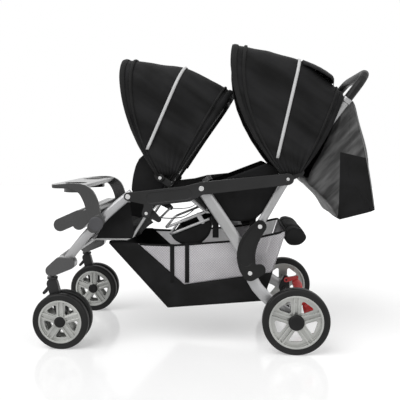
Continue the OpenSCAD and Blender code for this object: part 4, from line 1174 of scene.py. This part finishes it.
FOOT_ORIGIN = side(-275.9, 416.0)
FOOT_SLOPE = radians(22)
FOOT_LINE = ((0.02, 0.02), (0.06, 0.3), (0.14, 0.55), (0.27, 0.82), (0.42, 0.97), (0.58, 0.99), (0.74, 0.86),
             (0.88, 0.66), (0.95, 0.4), (0.985, 0.02))
FOOT_LENGTH, FOOT_DEPTH, FOOT_BRIM = 0.140, 0.060, 0.005
BAG_CLOTH, APRON_CLOTH = 0.0018, 0.002
APRON_LOW, APRON_HIGH = side(-331, 478.6), side(-289, 443.4)
APRON_SQUARE = Vector((0.643, 0, 0.766))
APRON_HALF = 0.155


def footwell():
    """Cloth bag between the rear footrest's tubes, open above, and the apron behind it."""
    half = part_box("rear_footwell")[1].y - 0.001
    forward, up = slope_axes(FOOT_SLOPE)

    def spot(share):
        return FOOT_ORIGIN + forward * FOOT_LENGTH * (share[0] - 1) - up * (FOOT_BRIM + FOOT_DEPTH * share[1])

    path = spline([spot(s) for s in FOOT_LINE], 4)
    rows = []
    for i, p in enumerate(path):
        brim = mix(path[0], path[-1], 0.03 + 0.94 * i / (len(path) - 1)) + up * 0.001
        wall = [mix(brim, p, k / 5) for k in range(6)]
        row = [Vector((q.x, -half + 0.002 * sin(pi * k / 5), q.z)) for k, q in enumerate(wall)]
        for k in range(1, 16):
            y = mix(-half, half, k / 16)
            row.append(Vector((p.x, y, p.z + 0.0015 * crease(Vector((p.x, y, p.z)), 25, 13))))
        row += [Vector((q.x, -q.y, q.z)) for q in reversed(row[:6])]
        rows.append(row)
    bag = grid("rear_footwell_bag", rows, BLACK, BAG_CLOTH)
    rows = [[mix(APRON_LOW, APRON_HIGH, t) + APRON_SQUARE * 0.0022 * crease(Vector((t, k / 4, 0)), 1.7, 14)
             + ACROSS * mix(-APRON_HALF, APRON_HALF, k / 24) for k in range(25)] for t in shares(8)]
    apron = grid("rear_footwell_apron", rows, BLACK, APRON_CLOTH)
    for piece, seat in ((bag, "rear_foot_tubes"), (apron, "rear_seat_frame")):
        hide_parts("rear_footwell")
        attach(piece, "chassis")


footwell()


# Caps on the hubs, rivets and pivots

# Shares of a cap's radius and height, from its edge to its middle
CAP_PROFILE = ((1, 0), (1, 0.35), (0.93, 0.7), (0.75, 0.95), (0.5, 1), (0.3, 0.9), (0.08, 0.82))
CAP_ROOT, CAP_SINK = 0.98, 0.002


def hub_cap(name, centre, outward, radius, height, body, material=JET, slot="black_plastic"):
    """Domed cap with a rolled edge and a dimple."""
    profile = [(radius * CAP_ROOT, -CAP_SINK)] + [(radius * a, height * b) for a, b in CAP_PROFILE]
    cap = lathe(name, centre, outward, profile, material)
    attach(cap, body)


# Radius and height
REAR_CAP = (0.025, 0.006)
FRONT_CAP = (0.018, 0.004)
LINK_HEAD = (0.007, 0.0005)
PIVOT_DISC = (0.014, 0.003)
PIVOT_HEAD = (0.006, 0.0024)
HUB_COVER = (0.0235, 0.003)
HEAD_LIFT = 0.0025


def wheels():
    """Hub caps of the six wheels."""
    for hand, name in SIDES:
        low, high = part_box(f"rear_rim_{name}")
        centre = PIVOT[f"rear_wheel_spin_{name}"].copy()
        centre.y = low.y if hand < 0 else high.y
        hub_cap(f"rear_hub_cap_{name}", centre, hand, *REAR_CAP, f"rear_wheel_{name}")
        for place in ("outer", "inner"):
            low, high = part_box(f"front_rim_{name}_{place}")
            face = hand if place == "outer" else -hand
            centre = PIVOT[f"front_wheel_spin_{name}_{place}"].copy()
            centre.y = low.y if face < 0 else high.y
            hub_cap(f"front_hub_cap_{name}_{place}", centre, face, *FRONT_CAP,
                    f"front_wheel_{name}_{place}")


wheels()

LINK_TOP = side(-114, 401)


def rivets():
    """Steel heads on the links and the front hood's pivots, and the covers of the tray's hubs."""
    bow_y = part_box("front_canopy_bow")[1].y
    tray_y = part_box("tray")[1].y
    for hand, name in SIDES:
        link_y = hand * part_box("fold_link_right")[1].y

        def cap(part, centre, y, size, body, material=STEEL, slot="steel"):
            place = Vector((centre.x, y, centre.z))
            hub_cap(f"{part}_{name}", place, hand, *size, body, material, slot)

        cap("link_head_top", LINK_TOP, link_y, LINK_HEAD, "fold_link_" + name)
        cap("link_head_low", PIVOT["link_swing_left"], link_y, LINK_HEAD, "fold_link_" + name)
        hinge = PIVOT["front_canopy"]
        cap("hood_pivot_disc", hinge, hand * bow_y, PIVOT_DISC, "front_canopy_bow", JET, "black_plastic")
        cap("hood_pivot_head", hinge, hand * (bow_y + HEAD_LIFT), PIVOT_HEAD, "front_canopy_bow")
        cap("tray_hub_cover", PIVOT["tray_tilt"], hand * tray_y, HUB_COVER, "tray", HUB, "black_plastic")


rivets()

PEDAL_PAD = side_line(
    (30, 136), (50, 143), (66, 126), (68, 104), (56, 91), (41, 96), (33, 114))
PEDAL_PROUD = 0.001
# Share of the thickness and of the outline
PAD_RINGS = ((0.0, 0.72), (0.08, 0.92), (0.25, 1.0), (0.75, 1.0), (0.92, 0.92), (1.0, 0.72))


def pedal_pads():
    """Broad red foot pads on the brake pedals' arms."""
    outline = spline(PEDAL_PAD, 5, closed=True)
    centre = sum(outline, Vector()) / len(outline)
    for hand, name in SIDES:
        low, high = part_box("brake_pedal_" + name)
        rings = []
        for share, size in PAD_RINGS:
            y = mix(low.y - PEDAL_PROUD, high.y + PEDAL_PROUD, share)
            rings.append([mix(centre, p, size) + ACROSS * y for p in outline])
        pad_piece = loft("brake_pad_" + name, rings, RED)
        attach(pad_piece, "brake_pedal_" + name)


pedal_pads()
